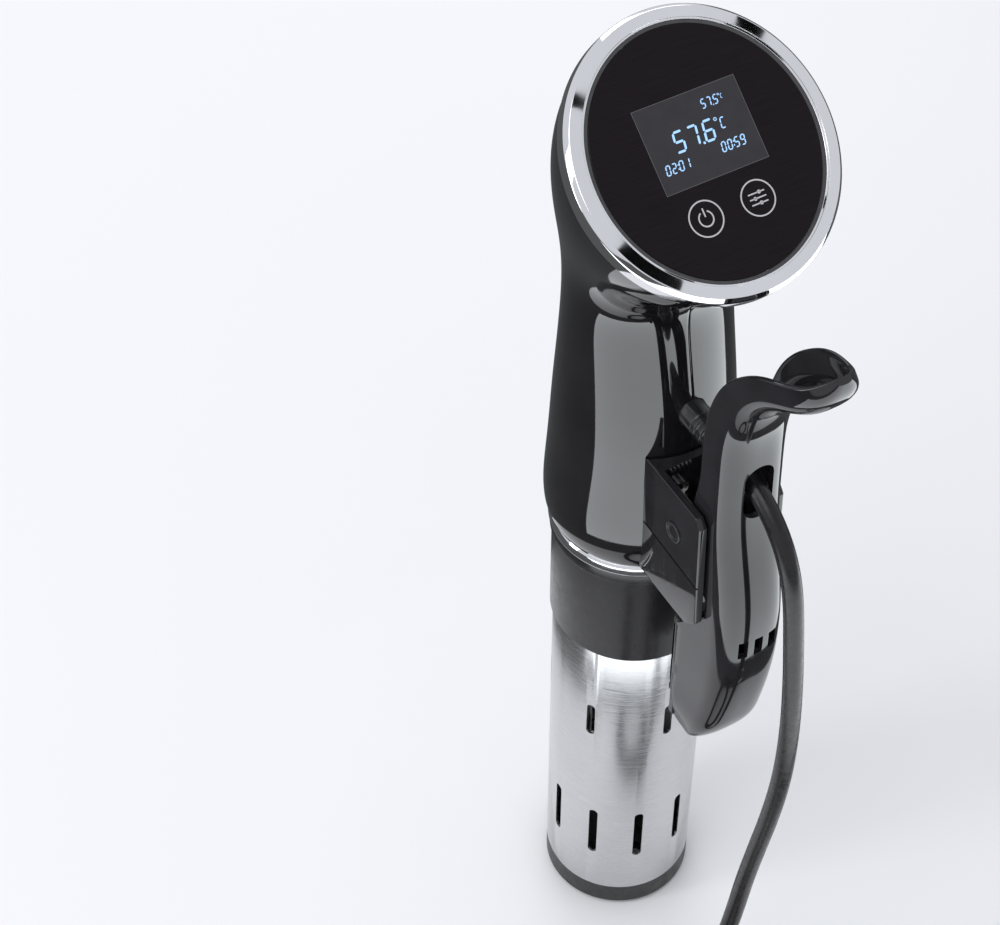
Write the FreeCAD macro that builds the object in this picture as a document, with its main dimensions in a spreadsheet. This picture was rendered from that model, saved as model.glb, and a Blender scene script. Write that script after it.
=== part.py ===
"""Sous vide circulator that hangs on the rim of a pot: a parametric FreeCAD document.

Millimetres, +Z up, the display looks towards -Y. The origin is on the underside of the clamp bracket, where
the pot's rim carries the appliance. The immersion tube stands behind it on the axis X = 0, Y = axis_back.
"""
import FreeCAD, Part
import Sketcher
import math
import os
import re

from FreeCAD import Placement, Rotation, Vector

doc = FreeCAD.newDocument("circulator")

SIZES = {
    # body and immersion tube
    "axis_back": 39.0,
    "body_radius": 28.5,
    "wall": 2.2,
    "shell_boss_radius": 3.6,
    "vent_wide": 9.0,
    "vent_tall": 2.2,
    "vent_pitch": 6.0,
    "vent_low": 29.0,
    "trim_low": -6.0,
    "trim_high": -1.0,
    "trim_proud": 0.7,
    "collar_radius": 27.4,
    "collar_low": -51.0,
    "collar_step": 0.7,
    "spigot_high": 3.5,
    "spigot_wall": 2.4,
    "socket_deep": 8.0,
    "seal_high": 1.45,
    "sleeve_radius": 26.4,
    "sleeve_wall": 0.8,
    "sleeve_low": -189.0,
    "slot_wide": 3.2,
    "inlet_tall": 26.0,
    "inlet_height": -155.0,
    "outlet_tall": 16.0,
    "outlet_height": -89.0,
    "cap_low": -200.0,
    "cap_floor": 2.4,
    "cap_rim": 6.0,
    "cap_wall": 1.8,
    "drain_radius": 2.1,
    "fit_gap": 0.05,
    # head
    "head_forward": 18.0,
    "head_height": 161.0,
    "head_tilt": 37.0,
    "ring_half_x": 40.0,
    "ring_half_s": 41.8,
    "glass_half_x": 33.4,
    "glass_half_s": 35.8,
    "seal_width": 1.1,
    "bezel_back": -4.0,
    "bezel_front": 3.0,
    "bezel_round": 2.0,
    "bezel_ledge": 0.5,
    "glass_front": 2.6,
    "glass_thick": 2.0,
    "lcd_wide": 32.6,
    "lcd_tall": 24.4,
    "lcd_thick": 2.6,
    "lcd_up": 4.6,
    "touch_apart": 16.6,
    "touch_down": 16.8,
    "touch_radius": 5.2,
    "buzzer_radius": 6.0,
    "buzzer_high": 5.0,
    # clamp
    "plate_thick": 2.8,
    "plate_inner": 12.1,
    "bracket_high": 50.0,
    "bracket_out": 17.0,
    "seat_thick": 2.6,
    "saddle_back": 14.8,
    "saddle_thick": 7.0,
    "groove_deep": 0.5,
    "groove_tall": 0.9,
    "pivot_forward": 2.6,
    "pivot_height": 34.0,
    "pin_radius": 2.0,
    "pin_head_radius": 3.6,
    "lever_half": 11.5,
    "lever_wall": 2.0,
    "pad_thick": 5.0,
    "pad_wide": 17.0,
    "window_wide": 10.0,
    "window_tall": 21.0,
    "window_height": 63.0,
    "lever_slot_wide": 3.0,
    "lever_slot_tall": 7.4,
    "pad_tall": 38.0,
    "ear_radius": 6.0,
    "screw_radius": 1.5,
    "spring_wire": 1.1,
    "spring_leg": 9.0,
    # drive and heating
    "motor_radius": 18.0,
    "motor_low": 7.0,
    "motor_high": 45.0,
    "shaft_radius": 2.5,
    "bush_radius": 5.0,
    "bush_high": 3.55,
    "fan_radius": 20.0,
    "fan_high": 8.0,
    "fan_pitch": 38.0,
    "impeller_radius": 16.0,
    "impeller_high": 9.0,
    "impeller_pitch": 42.0,
    "heater_radius": 3.2,
    "probe_radius": 2.5,
    "electrode_radius": 1.25,
    "board_thick": 1.6,
    "board_wide": 38.0,
    "board_tall": 46.0,
    # cord
    "cord_radius": 3.15,
    "coil_radius": 35.0,
    "plug_radius": 18.0,
    "plug_pin_radius": 2.4,
    "plug_pin_long": 19.0,
    "plug_pin_apart": 19.0,
    "relief_barrel": 1.65,
    "relief_flange": 3.4,
}

sheet = doc.addObject("Spreadsheet::Sheet", "Sizes")
for row, (alias, value) in enumerate(SIZES.items(), start=1):
    sheet.set("A%d" % row, alias)
    sheet.set("B%d" % row, str(value))
    sheet.setAlias("B%d" % row, alias)
doc.recompute()

NODES = []
ALIAS = re.compile(r"\b(%s)\b" % "|".join(sorted(SIZES, key=len, reverse=True)))


def cell(alias):
    """The number in the sheet's cell."""
    return float(sheet.get(alias))


def linked(text):
    """An expression with every alias written as a reference to the sheet."""
    return ALIAS.sub(r"Sizes.\1", str(text))


def value(text):
    """The number that an expression of aliases has now."""
    if not isinstance(text, str):
        return float(text)
    terms = ALIAS.sub(lambda match: "(%r)" % cell(match.group(1)), text)
    return float(FreeCAD.Units.Quantity(terms).Value)


AXIS = Vector(0, cell("axis_back"), 0)
UP = Vector(0, 0, 1)
TILT = math.radians(cell("head_tilt"))
FACE_CENTRE = Vector(0, cell("head_forward"), cell("head_height"))
FACE = Placement(FACE_CENTRE, Rotation(Vector(1, 0, 0), cell("head_tilt")))


def node(obj, name):
    """Names the finished object as one piece of the appliance."""
    obj.Label = name
    NODES.append(obj)
    return obj


def turned(position, direction):
    """A placement at position whose Z points along direction."""
    return Placement(position, Rotation(UP, Vector(*direction)))


def cylinder(radius, height, position, direction=(0, 0, 1)):
    """A cylinder bound to the sheet, from position along direction."""
    obj = doc.addObject("Part::Cylinder", "cylinder")
    obj.setExpression("Radius", linked(radius))
    obj.setExpression("Height", linked(height))
    obj.Placement = turned(position, direction)
    return obj


def box(size, centre, turn=Rotation()):
    """A box of the given sizes, bound to the sheet, about its centre."""
    obj = doc.addObject("Part::Box", "box")
    for side, amount in zip(("Length", "Width", "Height"), size):
        obj.setExpression(side, linked(amount))
    half = Vector(*[value(amount) / 2 for amount in size])
    obj.Placement = Placement(centre - turn.multVec(half), turn)
    return obj


def cut(base, *tools):
    """base without tools."""
    for tool in tools:
        obj = doc.addObject("Part::Cut", "cut")
        obj.Base = base
        obj.Tool = tool
        base = obj
    return base


def fuse(*shapes):
    """One solid of shapes that overlap, or one group of shapes that do not."""
    obj = doc.addObject("Part::MultiFuse", "fuse")
    obj.Shapes = list(shapes)
    return obj


def tube(outer, inner, low, high, axis=AXIS):
    """A round tube between two heights on a vertical axis."""
    bottom = Vector(axis.x, axis.y, value(low))
    height = "(%s) - (%s)" % (high, low)
    return cut(cylinder(outer, height, bottom), cylinder(inner, height, bottom))


def frozen(name, shape):
    """A shape worked out by Part's own functions from the sheet's numbers."""
    obj = doc.addObject("Part::Feature", name)
    obj.Shape = shape
    return obj


def polyline(sketch, points):
    """A closed outline in a sketch, each corner held by two dimensions bound to the sheet."""
    at = [(value(a), value(b)) for a, b in points]
    count = len(at)
    for index, (a, b) in enumerate(at):
        c, d = at[(index + 1) % count]
        sketch.addGeometry(Part.LineSegment(Vector(a, b, 0), Vector(c, d, 0)), False)
    for index in range(count):
        following = (index + 1) % count
        sketch.addConstraint(Sketcher.Constraint("Coincident", index, 2, following, 1))
    for index, pair in enumerate(points):
        for kind, axis, text, number in zip(("DistanceX", "DistanceY"), (-2, -1), pair, at[index]):
            if abs(number) < 1e-9:
                sketch.addConstraint(Sketcher.Constraint("PointOnObject", index, 1, axis))
                continue
            held = sketch.addConstraint(Sketcher.Constraint(kind, -1, 1, index, 1, number))
            if ALIAS.search(str(text)):
                sketch.setExpression("Constraints[%d]" % held, linked(text))


def sketch_on(body, role):
    """An empty sketch on one of the body's own origin planes."""
    sketch = body.newObject("Sketcher::SketchObject", "outline")
    plane = [item for item in body.Origin.OriginFeatures if item.Role == role][0]
    sketch.AttachmentSupport = [(plane, "")]
    sketch.MapMode = "FlatFace"
    return sketch


def turned_part(name, points, position=AXIS):
    """A body made on a lathe: points are (radius, height) pairs round a vertical axis."""
    body = doc.addObject("PartDesign::Body", name + "_body")
    sketch = sketch_on(body, "XZ_Plane")
    polyline(sketch, points)
    turn = body.newObject("PartDesign::Revolution", "turn")
    turn.Profile = sketch
    turn.ReferenceAxis = (sketch, ["V_Axis"])
    turn.Angle = 360.0
    body.Placement = Placement(position, Rotation())
    return body


def plate_part(name, role, points, thick, placement=Placement(), symmetric=True):
    """A body cut from sheet: an outline on an origin plane, padded."""
    body = doc.addObject("PartDesign::Body", name + "_body")
    sketch = sketch_on(body, role)
    polyline(sketch, points)
    pad = body.newObject("PartDesign::Pad", "pad")
    pad.Profile = sketch
    pad.setExpression("Length", linked(thick))
    pad.Midplane = symmetric
    body.Placement = placement
    return body


def oval_part(name, half_x, half_s, low, high):
    """An oval disc parallel to the tilted face, between two heights above it."""
    body = doc.addObject("PartDesign::Body", name + "_body")
    sketch = sketch_on(body, "XY_Plane")
    major, minor = max(value(half_x), value(half_s)), min(value(half_x), value(half_s))
    upright = value(half_s) >= value(half_x)
    tip = Vector(0, major, 0) if upright else Vector(major, 0, 0)
    side = Vector(minor, 0, 0) if upright else Vector(0, minor, 0)
    sketch.addGeometry(Part.Ellipse(tip, side, Vector(0, 0, 0)), False)
    pad = body.newObject("PartDesign::Pad", "pad")
    pad.Profile = sketch
    pad.setExpression("Length", linked("(%s) - (%s)" % (high, low)))
    body.Placement = FACE.multiply(Placement(Vector(0, 0, value(low)), Rotation()))
    return body


# --- housing -------------------------------------------------------------------------------------------

BEZEL_OVERHANG = 1.2
DRUM_DEPTH = 9.0
OPEN_END = 2.0
BRACKET_SCREW_X = 7.0
BRACKET_SCREW_HEIGHTS = (13.0, 41.0)
BRACKET_SCREW_START = 5.0
BRACKET_SCREW_HOLE = "16"
CORD_EXIT = Vector(0, -8.0, 64.0)
CORD_HOLE_GAP = "1.75"
SHELL_SCREWS = (Vector(0, 57.0, 63.0), Vector(0, 53.0, 94.0))
SHELL_BOSS_REACH = 20.0
SHELL_SCREW_START = -8.0
SHELL_SCREW_HEAD = 11.9
VENTS_ON_A_SIDE = 4
BEYOND = 400.0


def housing_sections():
    """Centre (Y, Z), tilt, half width and half depth of each section, bottom to top.

    The neck is slimmest in depth below the face and leans forward into the oval head.
    """
    back = cell("axis_back")
    radius = cell("body_radius")
    tilt = cell("head_tilt")
    drum_x = cell("ring_half_x") - BEZEL_OVERHANG
    drum_s = cell("ring_half_s") - BEZEL_OVERHANG
    down = cell("bezel_back")
    rim = FACE.multVec(Vector(0, 0, down))
    drum = FACE.multVec(Vector(0, 0, down - DRUM_DEPTH))
    return [
        (back, cell("trim_high") + cell("fit_gap"), 0.0, radius, radius),
        (back, 9.0, 0.0, radius, radius),
        (back, 22.0, 0.0, radius, radius),
        (back, 36.0, 0.0, radius, radius),
        (back + 0.1, 50.0, 0.0, radius - 0.2, radius - 0.5),
        (back + 0.5, 66.0, 1.0, radius - 0.8, radius - 2.2),
        (back + 1.3, 86.0, 3.0, radius - 1.7, radius - 5.2),
        (back + 0.8, 107.0, 10.0, radius - 1.0, radius - 6.4),
        (back - 4.0, 126.0, 24.0, radius + 3.5, radius - 0.6),
        (drum.y + 0.5, drum.z - 1.0, tilt, drum_x - 0.9, drum_s - 1.2),
        (rim.y, rim.z, tilt, drum_x, drum_s),
    ]


def section_wire(section, inset):
    """A closed elliptic wire for one section, made smaller by inset."""
    y, z, tilt, half_x, half_s = section
    half_x -= inset
    half_s -= inset
    place = Placement(Vector(0, y, z), Rotation(Vector(1, 0, 0), tilt))
    quarter = math.pi / 2
    if half_x >= half_s:
        curve = Part.Ellipse(Vector(half_x, 0, 0), Vector(0, half_s, 0), Vector(0, 0, 0))
        turn = quarter
    else:
        curve = Part.Ellipse(Vector(0, half_s, 0), Vector(-half_x, 0, 0), Vector(0, 0, 0))
        turn = 0.0
    wire = Part.Wire([Part.ArcOfEllipse(curve, turn, turn + 2 * math.pi).toShape()])
    wire.Placement = place
    return wire


def housing_lofts():
    """The outside of the housing and the hollow in it, open at the trim ring and at the face."""
    outer = Part.makeLoft([section_wire(s, 0.0) for s in housing_sections()], True, False)
    inner_sections = [list(s) for s in housing_sections()]
    inner_sections[0][1] -= OPEN_END
    last = inner_sections[-1]
    last[0] -= OPEN_END * math.sin(TILT)
    last[1] += OPEN_END * math.cos(TILT)
    inner = Part.makeLoft([section_wire(s, cell("wall")) for s in inner_sections], True, False)
    return outer, inner


def make_housing():
    """Left and right half shells that meet on the middle plane, screwed together through two bosses."""
    outer, inner = housing_lofts()
    whole = outer.cut(inner)
    for spot in SHELL_SCREWS:
        start = spot - Vector(SHELL_BOSS_REACH, 0, 0)
        boss = Part.makeCylinder(cell("shell_boss_radius"), 2 * SHELL_BOSS_REACH, start, Vector(1, 0, 0))
        whole = whole.fuse(boss.common(outer))
    middle = Vector(BEYOND / 2, BEYOND / 2, BEYOND / 2)
    for name, side in (("shell_left", -1), ("shell_right", 1)):
        aside = side * (BEYOND + cell("fit_gap")) / 2
        keep = Part.makeBox(BEYOND, BEYOND, BEYOND, Vector(aside, 0, 0) - middle)
        half = frozen(name + "_blank", whole.common(keep))
        holes = []
        for height in BRACKET_SCREW_HEIGHTS:
            start = Vector(side * BRACKET_SCREW_X, BRACKET_SCREW_START, height)
            holes.append(cylinder("screw_radius + 0.1", BRACKET_SCREW_HOLE, start, (0, 1, 0)))
        front = Vector(0, 4.0, CORD_EXIT.z)
        holes.append(cylinder("cord_radius + " + CORD_HOLE_GAP, "20", front, (0, 1, 0)))
        for spot in SHELL_SCREWS:
            start = spot - Vector(12.0, 0, 0)
            holes.append(cylinder("screw_radius + fit_gap", "34", start, (1, 0, 0)))
            if side > 0:
                head = spot + Vector(SHELL_SCREW_HEAD - cell("fit_gap"), 0, 0)
                holes.append(cylinder("screw_radius + 1.5", "16", head, (1, 0, 0)))
        for step in range(VENTS_ON_A_SIDE):
            height = cell("vent_low") + step * cell("vent_pitch")
            place = Vector(side * cell("vent_wide"), cell("axis_back") + 22.0, height)
            holes.append(box(("vent_wide", "20", "vent_tall"), place))
        node(cut(half, *holes), name)


def make_shell_screws():
    """The screws that draw the right shell to the left one, heads sunk in the right shell."""
    parts = []
    for spot in SHELL_SCREWS:
        start = spot + Vector(SHELL_SCREW_START, 0, 0)
        parts.append(cylinder("screw_radius", "20", start, (1, 0, 0)))
        head = spot + Vector(SHELL_SCREW_HEAD, 0, 0)
        parts.append(cylinder("screw_radius + 1.3", "2.2", head, (1, 0, 0)))
    node(fuse(*parts), "shell_screws")


def make_trim():
    """The chrome ring round the foot of the housing."""
    inner = "sleeve_radius - 0.1"
    outer = "body_radius + trim_proud"
    node(turned_part("trim_ring", [
        (inner, "trim_low"),
        (outer + " - 0.8", "trim_low"),
        (outer, "trim_low + 1"),
        (outer, "trim_high - 1"),
        (outer + " - 0.7", "trim_high"),
        (inner, "trim_high"),
    ]), "trim_ring")


def make_collar():
    """The plastic collar that goes down behind the pot's rim and holds the steel sleeve."""
    spigot = "sleeve_radius - 0.2"
    socket = "sleeve_radius + fit_gap"
    node(turned_part("collar", [
        ("collar_radius - 0.5", "collar_low"),
        ("collar_radius", "collar_low + 0.6"),
        ("collar_radius", "trim_low - 4.6"),
        ("collar_radius + collar_step", "trim_low - 4"),
        ("collar_radius + collar_step", "trim_low - fit_gap"),
        (spigot, "trim_low - fit_gap"),
        (spigot, "trim_high + spigot_high"),
        (spigot + " - spigot_wall", "trim_high + spigot_high"),
        (spigot + " - spigot_wall", "collar_low + socket_deep"),
        (socket, "collar_low + socket_deep"),
        (socket, "collar_low"),
    ]), "collar")
    top = "collar_low + socket_deep - fit_gap"
    node(tube("sleeve_radius", "sleeve_radius - sleeve_wall", top + " - seal_high", top), "sleeve_seal")


def ring_of(count, radius, height, start=0.0):
    """Places and turns evenly round the tube's axis."""
    for index in range(count):
        angle = start + 360.0 * index / count
        turn = Rotation(UP, angle)
        yield AXIS + turn.multVec(Vector(radius, 0, 0)) + Vector(0, 0, height), turn


def make_sleeve():
    """The steel sleeve with its ring of inlet slots near the foot and outlet slots higher up."""
    top = "collar_low + socket_deep - seal_high - 3 * fit_gap"
    body = tube("sleeve_radius", "sleeve_radius - sleeve_wall", "sleeve_low", top)
    slots = []
    for place, turn in ring_of(10, value("sleeve_radius"), cell("inlet_height")):
        slots.append(box(("6", "slot_wide", "inlet_tall"), place, turn))
    for place, turn in ring_of(6, value("sleeve_radius"), cell("outlet_height"), 30.0):
        slots.append(box(("6", "slot_wide", "outlet_tall"), place, turn))
    node(cut(body, *slots), "steel_sleeve")


def make_base_cap():
    """The cap that closes the sleeve, with a grid of holes for the water."""
    spigot = "sleeve_radius - sleeve_wall - 0.1"
    cup = turned_part("base_cap", [
        ("0", "cap_low"),
        ("sleeve_radius - 2", "cap_low"),
        ("sleeve_radius", "cap_low + 2"),
        ("sleeve_radius", "sleeve_low - fit_gap"),
        (spigot, "sleeve_low - fit_gap"),
        (spigot, "sleeve_low + cap_rim"),
        (spigot + " - cap_wall", "sleeve_low + cap_rim"),
        (spigot + " - cap_wall", "cap_low + cap_floor"),
        ("0", "cap_low + cap_floor"),
    ])
    holes = []
    below = cell("cap_low") - 2.0
    for count, radius in ((1, 0.0), (6, 8.5), (12, 16.5)):
        for place, _ in ring_of(count, radius, below):
            holes.append(cylinder("drain_radius", "8", place))
    node(cut(cup, *holes), "base_cap")


# --- display ------------------------------------------------------------------------------------------

def on_face(right, up, out):
    """A point given across, up and out from the middle of the tilted face."""
    return FACE.multVec(Vector(right, up, out))


def make_display():
    """Chrome bezel, seal, black glass, display panel, touch pads and their board."""
    blank = oval_part("bezel", "ring_half_x", "ring_half_s", "bezel_back + fit_gap", "bezel_front")
    pad = blank.Tip
    doc.recompute()
    edges = pad.Shape.Edges
    top = max(range(len(edges)), key=lambda index: edges[index].BoundBox.ZMin)
    round_edge = blank.newObject("PartDesign::Fillet", "round_edge")
    round_edge.Base = (pad, ["Edge%d" % (top + 1)])
    round_edge.setExpression("Radius", linked("bezel_round"))
    ledge = cell("bezel_ledge")
    bore = oval_part("bezel_bore", "glass_half_x + seal_width + 0.1", "glass_half_s + seal_width + 0.1",
                     ledge, "bezel_front + 2")
    well = oval_part("bezel_well", "glass_half_x - 2", "glass_half_s - 2", "bezel_back - 2", ledge + 1.0)
    node(cut(blank, bore, well), "bezel")
    ring = oval_part("seal_ring", "glass_half_x + seal_width", "glass_half_s + seal_width",
                     ledge + 0.02, "glass_front - 0.3")
    hole = oval_part("seal_hole", "glass_half_x + fit_gap", "glass_half_s + fit_gap",
                     ledge - 1.0, "glass_front + 1")
    node(cut(ring, hole), "glass_seal")
    node(oval_part("glass", "glass_half_x", "glass_half_s", "glass_front - glass_thick", "glass_front"),
         "display_glass")
    under = cell("glass_front") - cell("glass_thick") - 0.05
    panel = on_face(0, cell("lcd_up"), under - cell("lcd_thick") / 2)
    node(box(("lcd_wide", "lcd_tall", "lcd_thick"), panel, FACE.Rotation), "lcd_panel")
    board_top = under - cell("lcd_thick") - 0.05
    node(oval_part("board", "glass_half_x - 3", "glass_half_s - 3",
                   "%r - board_thick" % board_top, repr(board_top)), "display_board")
    pads = []
    for side in (-1, 1):
        foot = on_face(side * cell("touch_apart") / 2, -cell("touch_down"), board_top + 0.02)
        pads.append(cylinder("touch_radius", repr(under - board_top - 0.04), foot, FACE.Rotation.multVec(UP)))
    node(fuse(*pads), "touch_pads")
    foot = on_face(15.0, -6.0, board_top - value("board_thick + buzzer_high + fit_gap"))
    node(cylinder("buzzer_radius", "buzzer_high", foot, FACE.Rotation.multVec(UP)), "buzzer")


# --- drive, heating and electronics -------------------------------------------------------------------

SHAFT_END_GAP = 4.0
SHAFT_OVER_MOTOR = 13.0
HUB_OVERLAP = {"cooling_fan": 1.0, "impeller": 1.5}


def blades(count, inner, outer, thick, low, high, pitch):
    """Flat blades round the shaft, each turned by pitch about its own radius."""
    parts = []
    middle = (inner + outer) / 2
    for place, turn in ring_of(count, middle, (low + high) / 2):
        twist = turn.multiply(Rotation(Vector(1, 0, 0), pitch))
        height = (high - low - thick * math.sin(math.radians(abs(pitch)))) / math.cos(math.radians(pitch))
        parts.append(box((repr(outer - inner), repr(thick), repr(height)), place, twist))
    return parts


def bladed_wheel(name, count, hub, reach, thick, low, high, pitch):
    """Blades on a hub that is bored for the shaft."""
    bore = "shaft_radius + 0.01"
    parts = [tube(repr(hub), bore, repr(low), repr(low + high))]
    parts += blades(count, hub - HUB_OVERLAP[name], reach, thick, low, low + high, pitch)
    node(cut(fuse(*parts), cylinder(bore, "40", AXIS + Vector(0, 0, low - 10))), name)


def make_drive():
    """Motor, mount, bushes, shaft, cooling fan and impeller on the tube's axis."""
    bore = "shaft_radius + 0.05"
    node(tube("motor_radius", "shaft_radius + 0.3", "motor_low", "motor_high"), "motor")
    under = "motor_low - fit_gap"
    node(tube("sleeve_radius - 0.2", "bush_radius + 0.02", under + " - bush_high", under), "motor_mount")
    node(tube("bush_radius", bore, under + " - bush_high", under), "upper_bush")
    node(tube("bush_radius", bore, "collar_low + 3", "collar_low + 7.9"), "lower_bush")
    node(tube("bush_radius + 2", "shaft_radius + 0.03", "collar_low - 3", "collar_low - 0.05"), "shaft_seal")
    foot = AXIS + Vector(0, 0, cell("sleeve_low") + SHAFT_END_GAP)
    length = repr(cell("motor_high") + SHAFT_OVER_MOTOR - foot.z)
    node(cylinder("shaft_radius", length, foot), "drive_shaft")
    bladed_wheel("cooling_fan", 7, 6.0, cell("fan_radius"), 1.4, cell("motor_high") + 3.0,
                 cell("fan_high"), cell("fan_pitch"))
    bladed_wheel("impeller", 4, 5.5, cell("impeller_radius"), 1.6, foot.z + 1.0,
                 cell("impeller_high"), cell("impeller_pitch"))


HEATER_X = 9.0
HEATER_Y = 13.0
HEATER_LOW = -137.0
PROBE = Vector(18.5, 0, -117.0)
ELECTRODES = (Vector(-18.5, -5.0, -89.0), Vector(-18.5, 5.0, -109.0))


def hairpin(centre):
    """One bent heating rod: two legs joined by a half circle at the bottom."""
    top = cell("collar_low") + 12.0
    low = centre + Vector(0, 0, HEATER_LOW)
    left = Vector(-HEATER_X, 0, 0)
    right = Vector(HEATER_X, 0, 0)
    head = Vector(centre.x, centre.y, top)
    run = Part.Wire([
        Part.LineSegment(head + left, low + left).toShape(),
        Part.Arc(low + left, low - Vector(0, 0, HEATER_X), low + right).toShape(),
        Part.LineSegment(low + right, head + right).toShape(),
    ])
    section = Part.Wire([Part.Circle(head + left, UP, cell("heater_radius")).toShape()])
    return run.makePipeShell([section], True, False)


def make_heating():
    """The plate that parts water from electronics, and what passes through it."""
    node(frozen("heater", Part.makeCompound([hairpin(AXIS + Vector(0, side * HEATER_Y, 0))
                                             for side in (-1, 1)])), "heater_rods")
    low = value("collar_low + 3")
    plate = tube("sleeve_radius - sleeve_wall - 0.1", "bush_radius + 0.02", repr(low), "collar_low + 6")
    holes = []
    for x in (-HEATER_X, HEATER_X):
        for y in (-HEATER_Y, HEATER_Y):
            holes.append(cylinder("heater_radius + 0.05", "20", AXIS + Vector(x, y, low - 5)))
    holes.append(cylinder("probe_radius + 0.05", "20", AXIS + Vector(PROBE.x, PROBE.y, low - 5)))
    for rod in ELECTRODES:
        holes.append(cylinder("electrode_radius + fit_gap", "20", AXIS + Vector(rod.x, rod.y, low - 5)))
    node(cut(plate, *holes), "heater_plate")
    length = repr(value("collar_low + 9") - PROBE.z)
    node(cylinder("probe_radius", length, AXIS + PROBE), "temperature_probe")
    top = value("collar_low + 9")
    rods = [cylinder("electrode_radius", repr(top - rod.z), AXIS + rod) for rod in ELECTRODES]
    node(fuse(*rods), "level_electrodes")


def make_electronics():
    """The power board in the neck with the parts that stand on it."""
    middle = AXIS + Vector(0, 2.0, 86.0)
    node(box(("board_wide", "board_thick", "board_tall"), middle), "power_board")
    front = middle.y - cell("board_thick") / 2 - 0.05
    node(box(("18", "12", "15"), Vector(6.0, front - 6.0, 95.0)), "transformer")
    node(box(("9", "11", "15"), Vector(-12.0, front - 5.5, 95.0)), "relay")
    node(cylinder("4.5", "14", Vector(-12.0, front, 79.0), (0, -1, 0)), "capacitor")
    node(box(("16", "8", "9"), Vector(5.0, front - 4.0, 79.0)), "terminal_block")


# --- clamp --------------------------------------------------------------------------------------------

PIVOT = Vector(0, -cell("pivot_forward"), cell("pivot_height"))
SEAT_FRONT = -3.0


def make_bracket():
    """Side plates and a seat that rests on the pot's rim, on a saddle screwed to the housing."""
    outline = [
        ("saddle_back", "0"),
        ("-bracket_out + 5", "0"),
        ("-bracket_out", "5"),
        ("-bracket_out + 1.6", "bracket_high - 3"),
        ("-bracket_out + 4", "bracket_high"),
        ("saddle_back", "bracket_high"),
    ]
    middle = value("plate_inner + plate_thick / 2")
    sides = []
    for side in (-1, 1):
        place = Placement(Vector(side * middle, 0, 0), Rotation())
        sides.append(plate_part("side_plate", "YZ_Plane", outline, "plate_thick", place))
    high = cell("bracket_high")
    web_middle = value("saddle_back - saddle_thick / 2")
    web = box(("2 * plate_inner + 1", "saddle_thick", "bracket_high"), Vector(0, web_middle, high / 2))
    seat_middle = Vector(0, (cell("saddle_back") + SEAT_FRONT) / 2, cell("seat_thick") / 2)
    seat = box(("2 * plate_inner + 1", repr(cell("saddle_back") - SEAT_FRONT), "seat_thick"), seat_middle)
    tools = [
        cylinder("body_radius + 0.15", "80", AXIS + Vector(0, 0, cell("trim_high") + 0.1)),
        cylinder("body_radius + trim_proud + 0.1", "22", AXIS + Vector(0, 0, cell("trim_high") - 19.8)),
        cylinder("pin_radius + 0.02", "60", PIVOT - Vector(30, 0, 0), (1, 0, 0)),
    ]
    for side in (-1, 1):
        groove = Vector(side * value("plate_inner + plate_thick"), -1.0, 22.0)
        tools.append(box(("2 * groove_deep", "34", "groove_tall"), groove, Rotation(Vector(1, 0, 0), 3.0)))
        for height in BRACKET_SCREW_HEIGHTS:
            start = Vector(side * BRACKET_SCREW_X, BRACKET_SCREW_START, height)
            tools.append(cylinder("screw_radius + fit_gap", BRACKET_SCREW_HOLE, start, (0, 1, 0)))
    node(cut(fuse(*sides, web, seat), *tools), "clamp_bracket")
    parts = []
    for side in (-1, 1):
        for height in BRACKET_SCREW_HEIGHTS:
            start = Vector(side * BRACKET_SCREW_X, 7.75, height)
            parts.append(cylinder("screw_radius", "8", start, (0, 1, 0)))
            parts.append(cylinder("screw_radius + 1.2", "1.8", start, (0, -1, 0)))
    node(fuse(*parts), "bracket_screws")


def make_pivot():
    """The pin that the lever turns on, its clip and the spring that closes the jaw."""
    reach = value("plate_inner + plate_thick")
    start = PIVOT - Vector(reach + 1.0, 0, 0)
    stem = cylinder("pin_radius", repr(2 * reach + 2.4), start, (1, 0, 0))
    head = cylinder("pin_head_radius", "0.95", start, (1, 0, 0))
    node(fuse(stem, head), "pivot_pin")
    start = PIVOT + Vector(reach + 0.1, 0, 0)
    node(cut(cylinder("pin_head_radius", "0.8", start, (1, 0, 0)),
             cylinder("pin_radius + 0.01", "2", start - Vector(0.5, 0, 0), (1, 0, 0))), "pin_clip")
    coils = 6
    wire = cell("spring_wire") / 2
    pitch = 2.6 * wire
    mean = cell("pin_radius") + 0.5 + wire
    helix = Part.makeHelix(pitch, coils * pitch, mean)
    section = Part.Wire([Part.Circle(Vector(mean, 0, 0), Vector(0, 1, 0), wire).toShape()])
    spring = Part.Wire(helix.Edges).makePipeShell([section], True, True)
    leg = cell("spring_leg")
    lower = Part.makeCylinder(wire, leg, Vector(mean, 0, 0), Vector(0, -1, 0))
    upper = Part.makeCylinder(wire, leg + 1.0, Vector(mean, 0, coils * pitch), Vector(0, 1, 0))
    spring = spring.fuse([lower, upper])
    obj = frozen("spring", spring)
    along = Rotation(UP, Vector(1, 0, 0))
    obj.Placement = Placement(PIVOT - Vector(coils * pitch / 2, 0, 0), along)
    node(obj, "clamp_spring")


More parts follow.
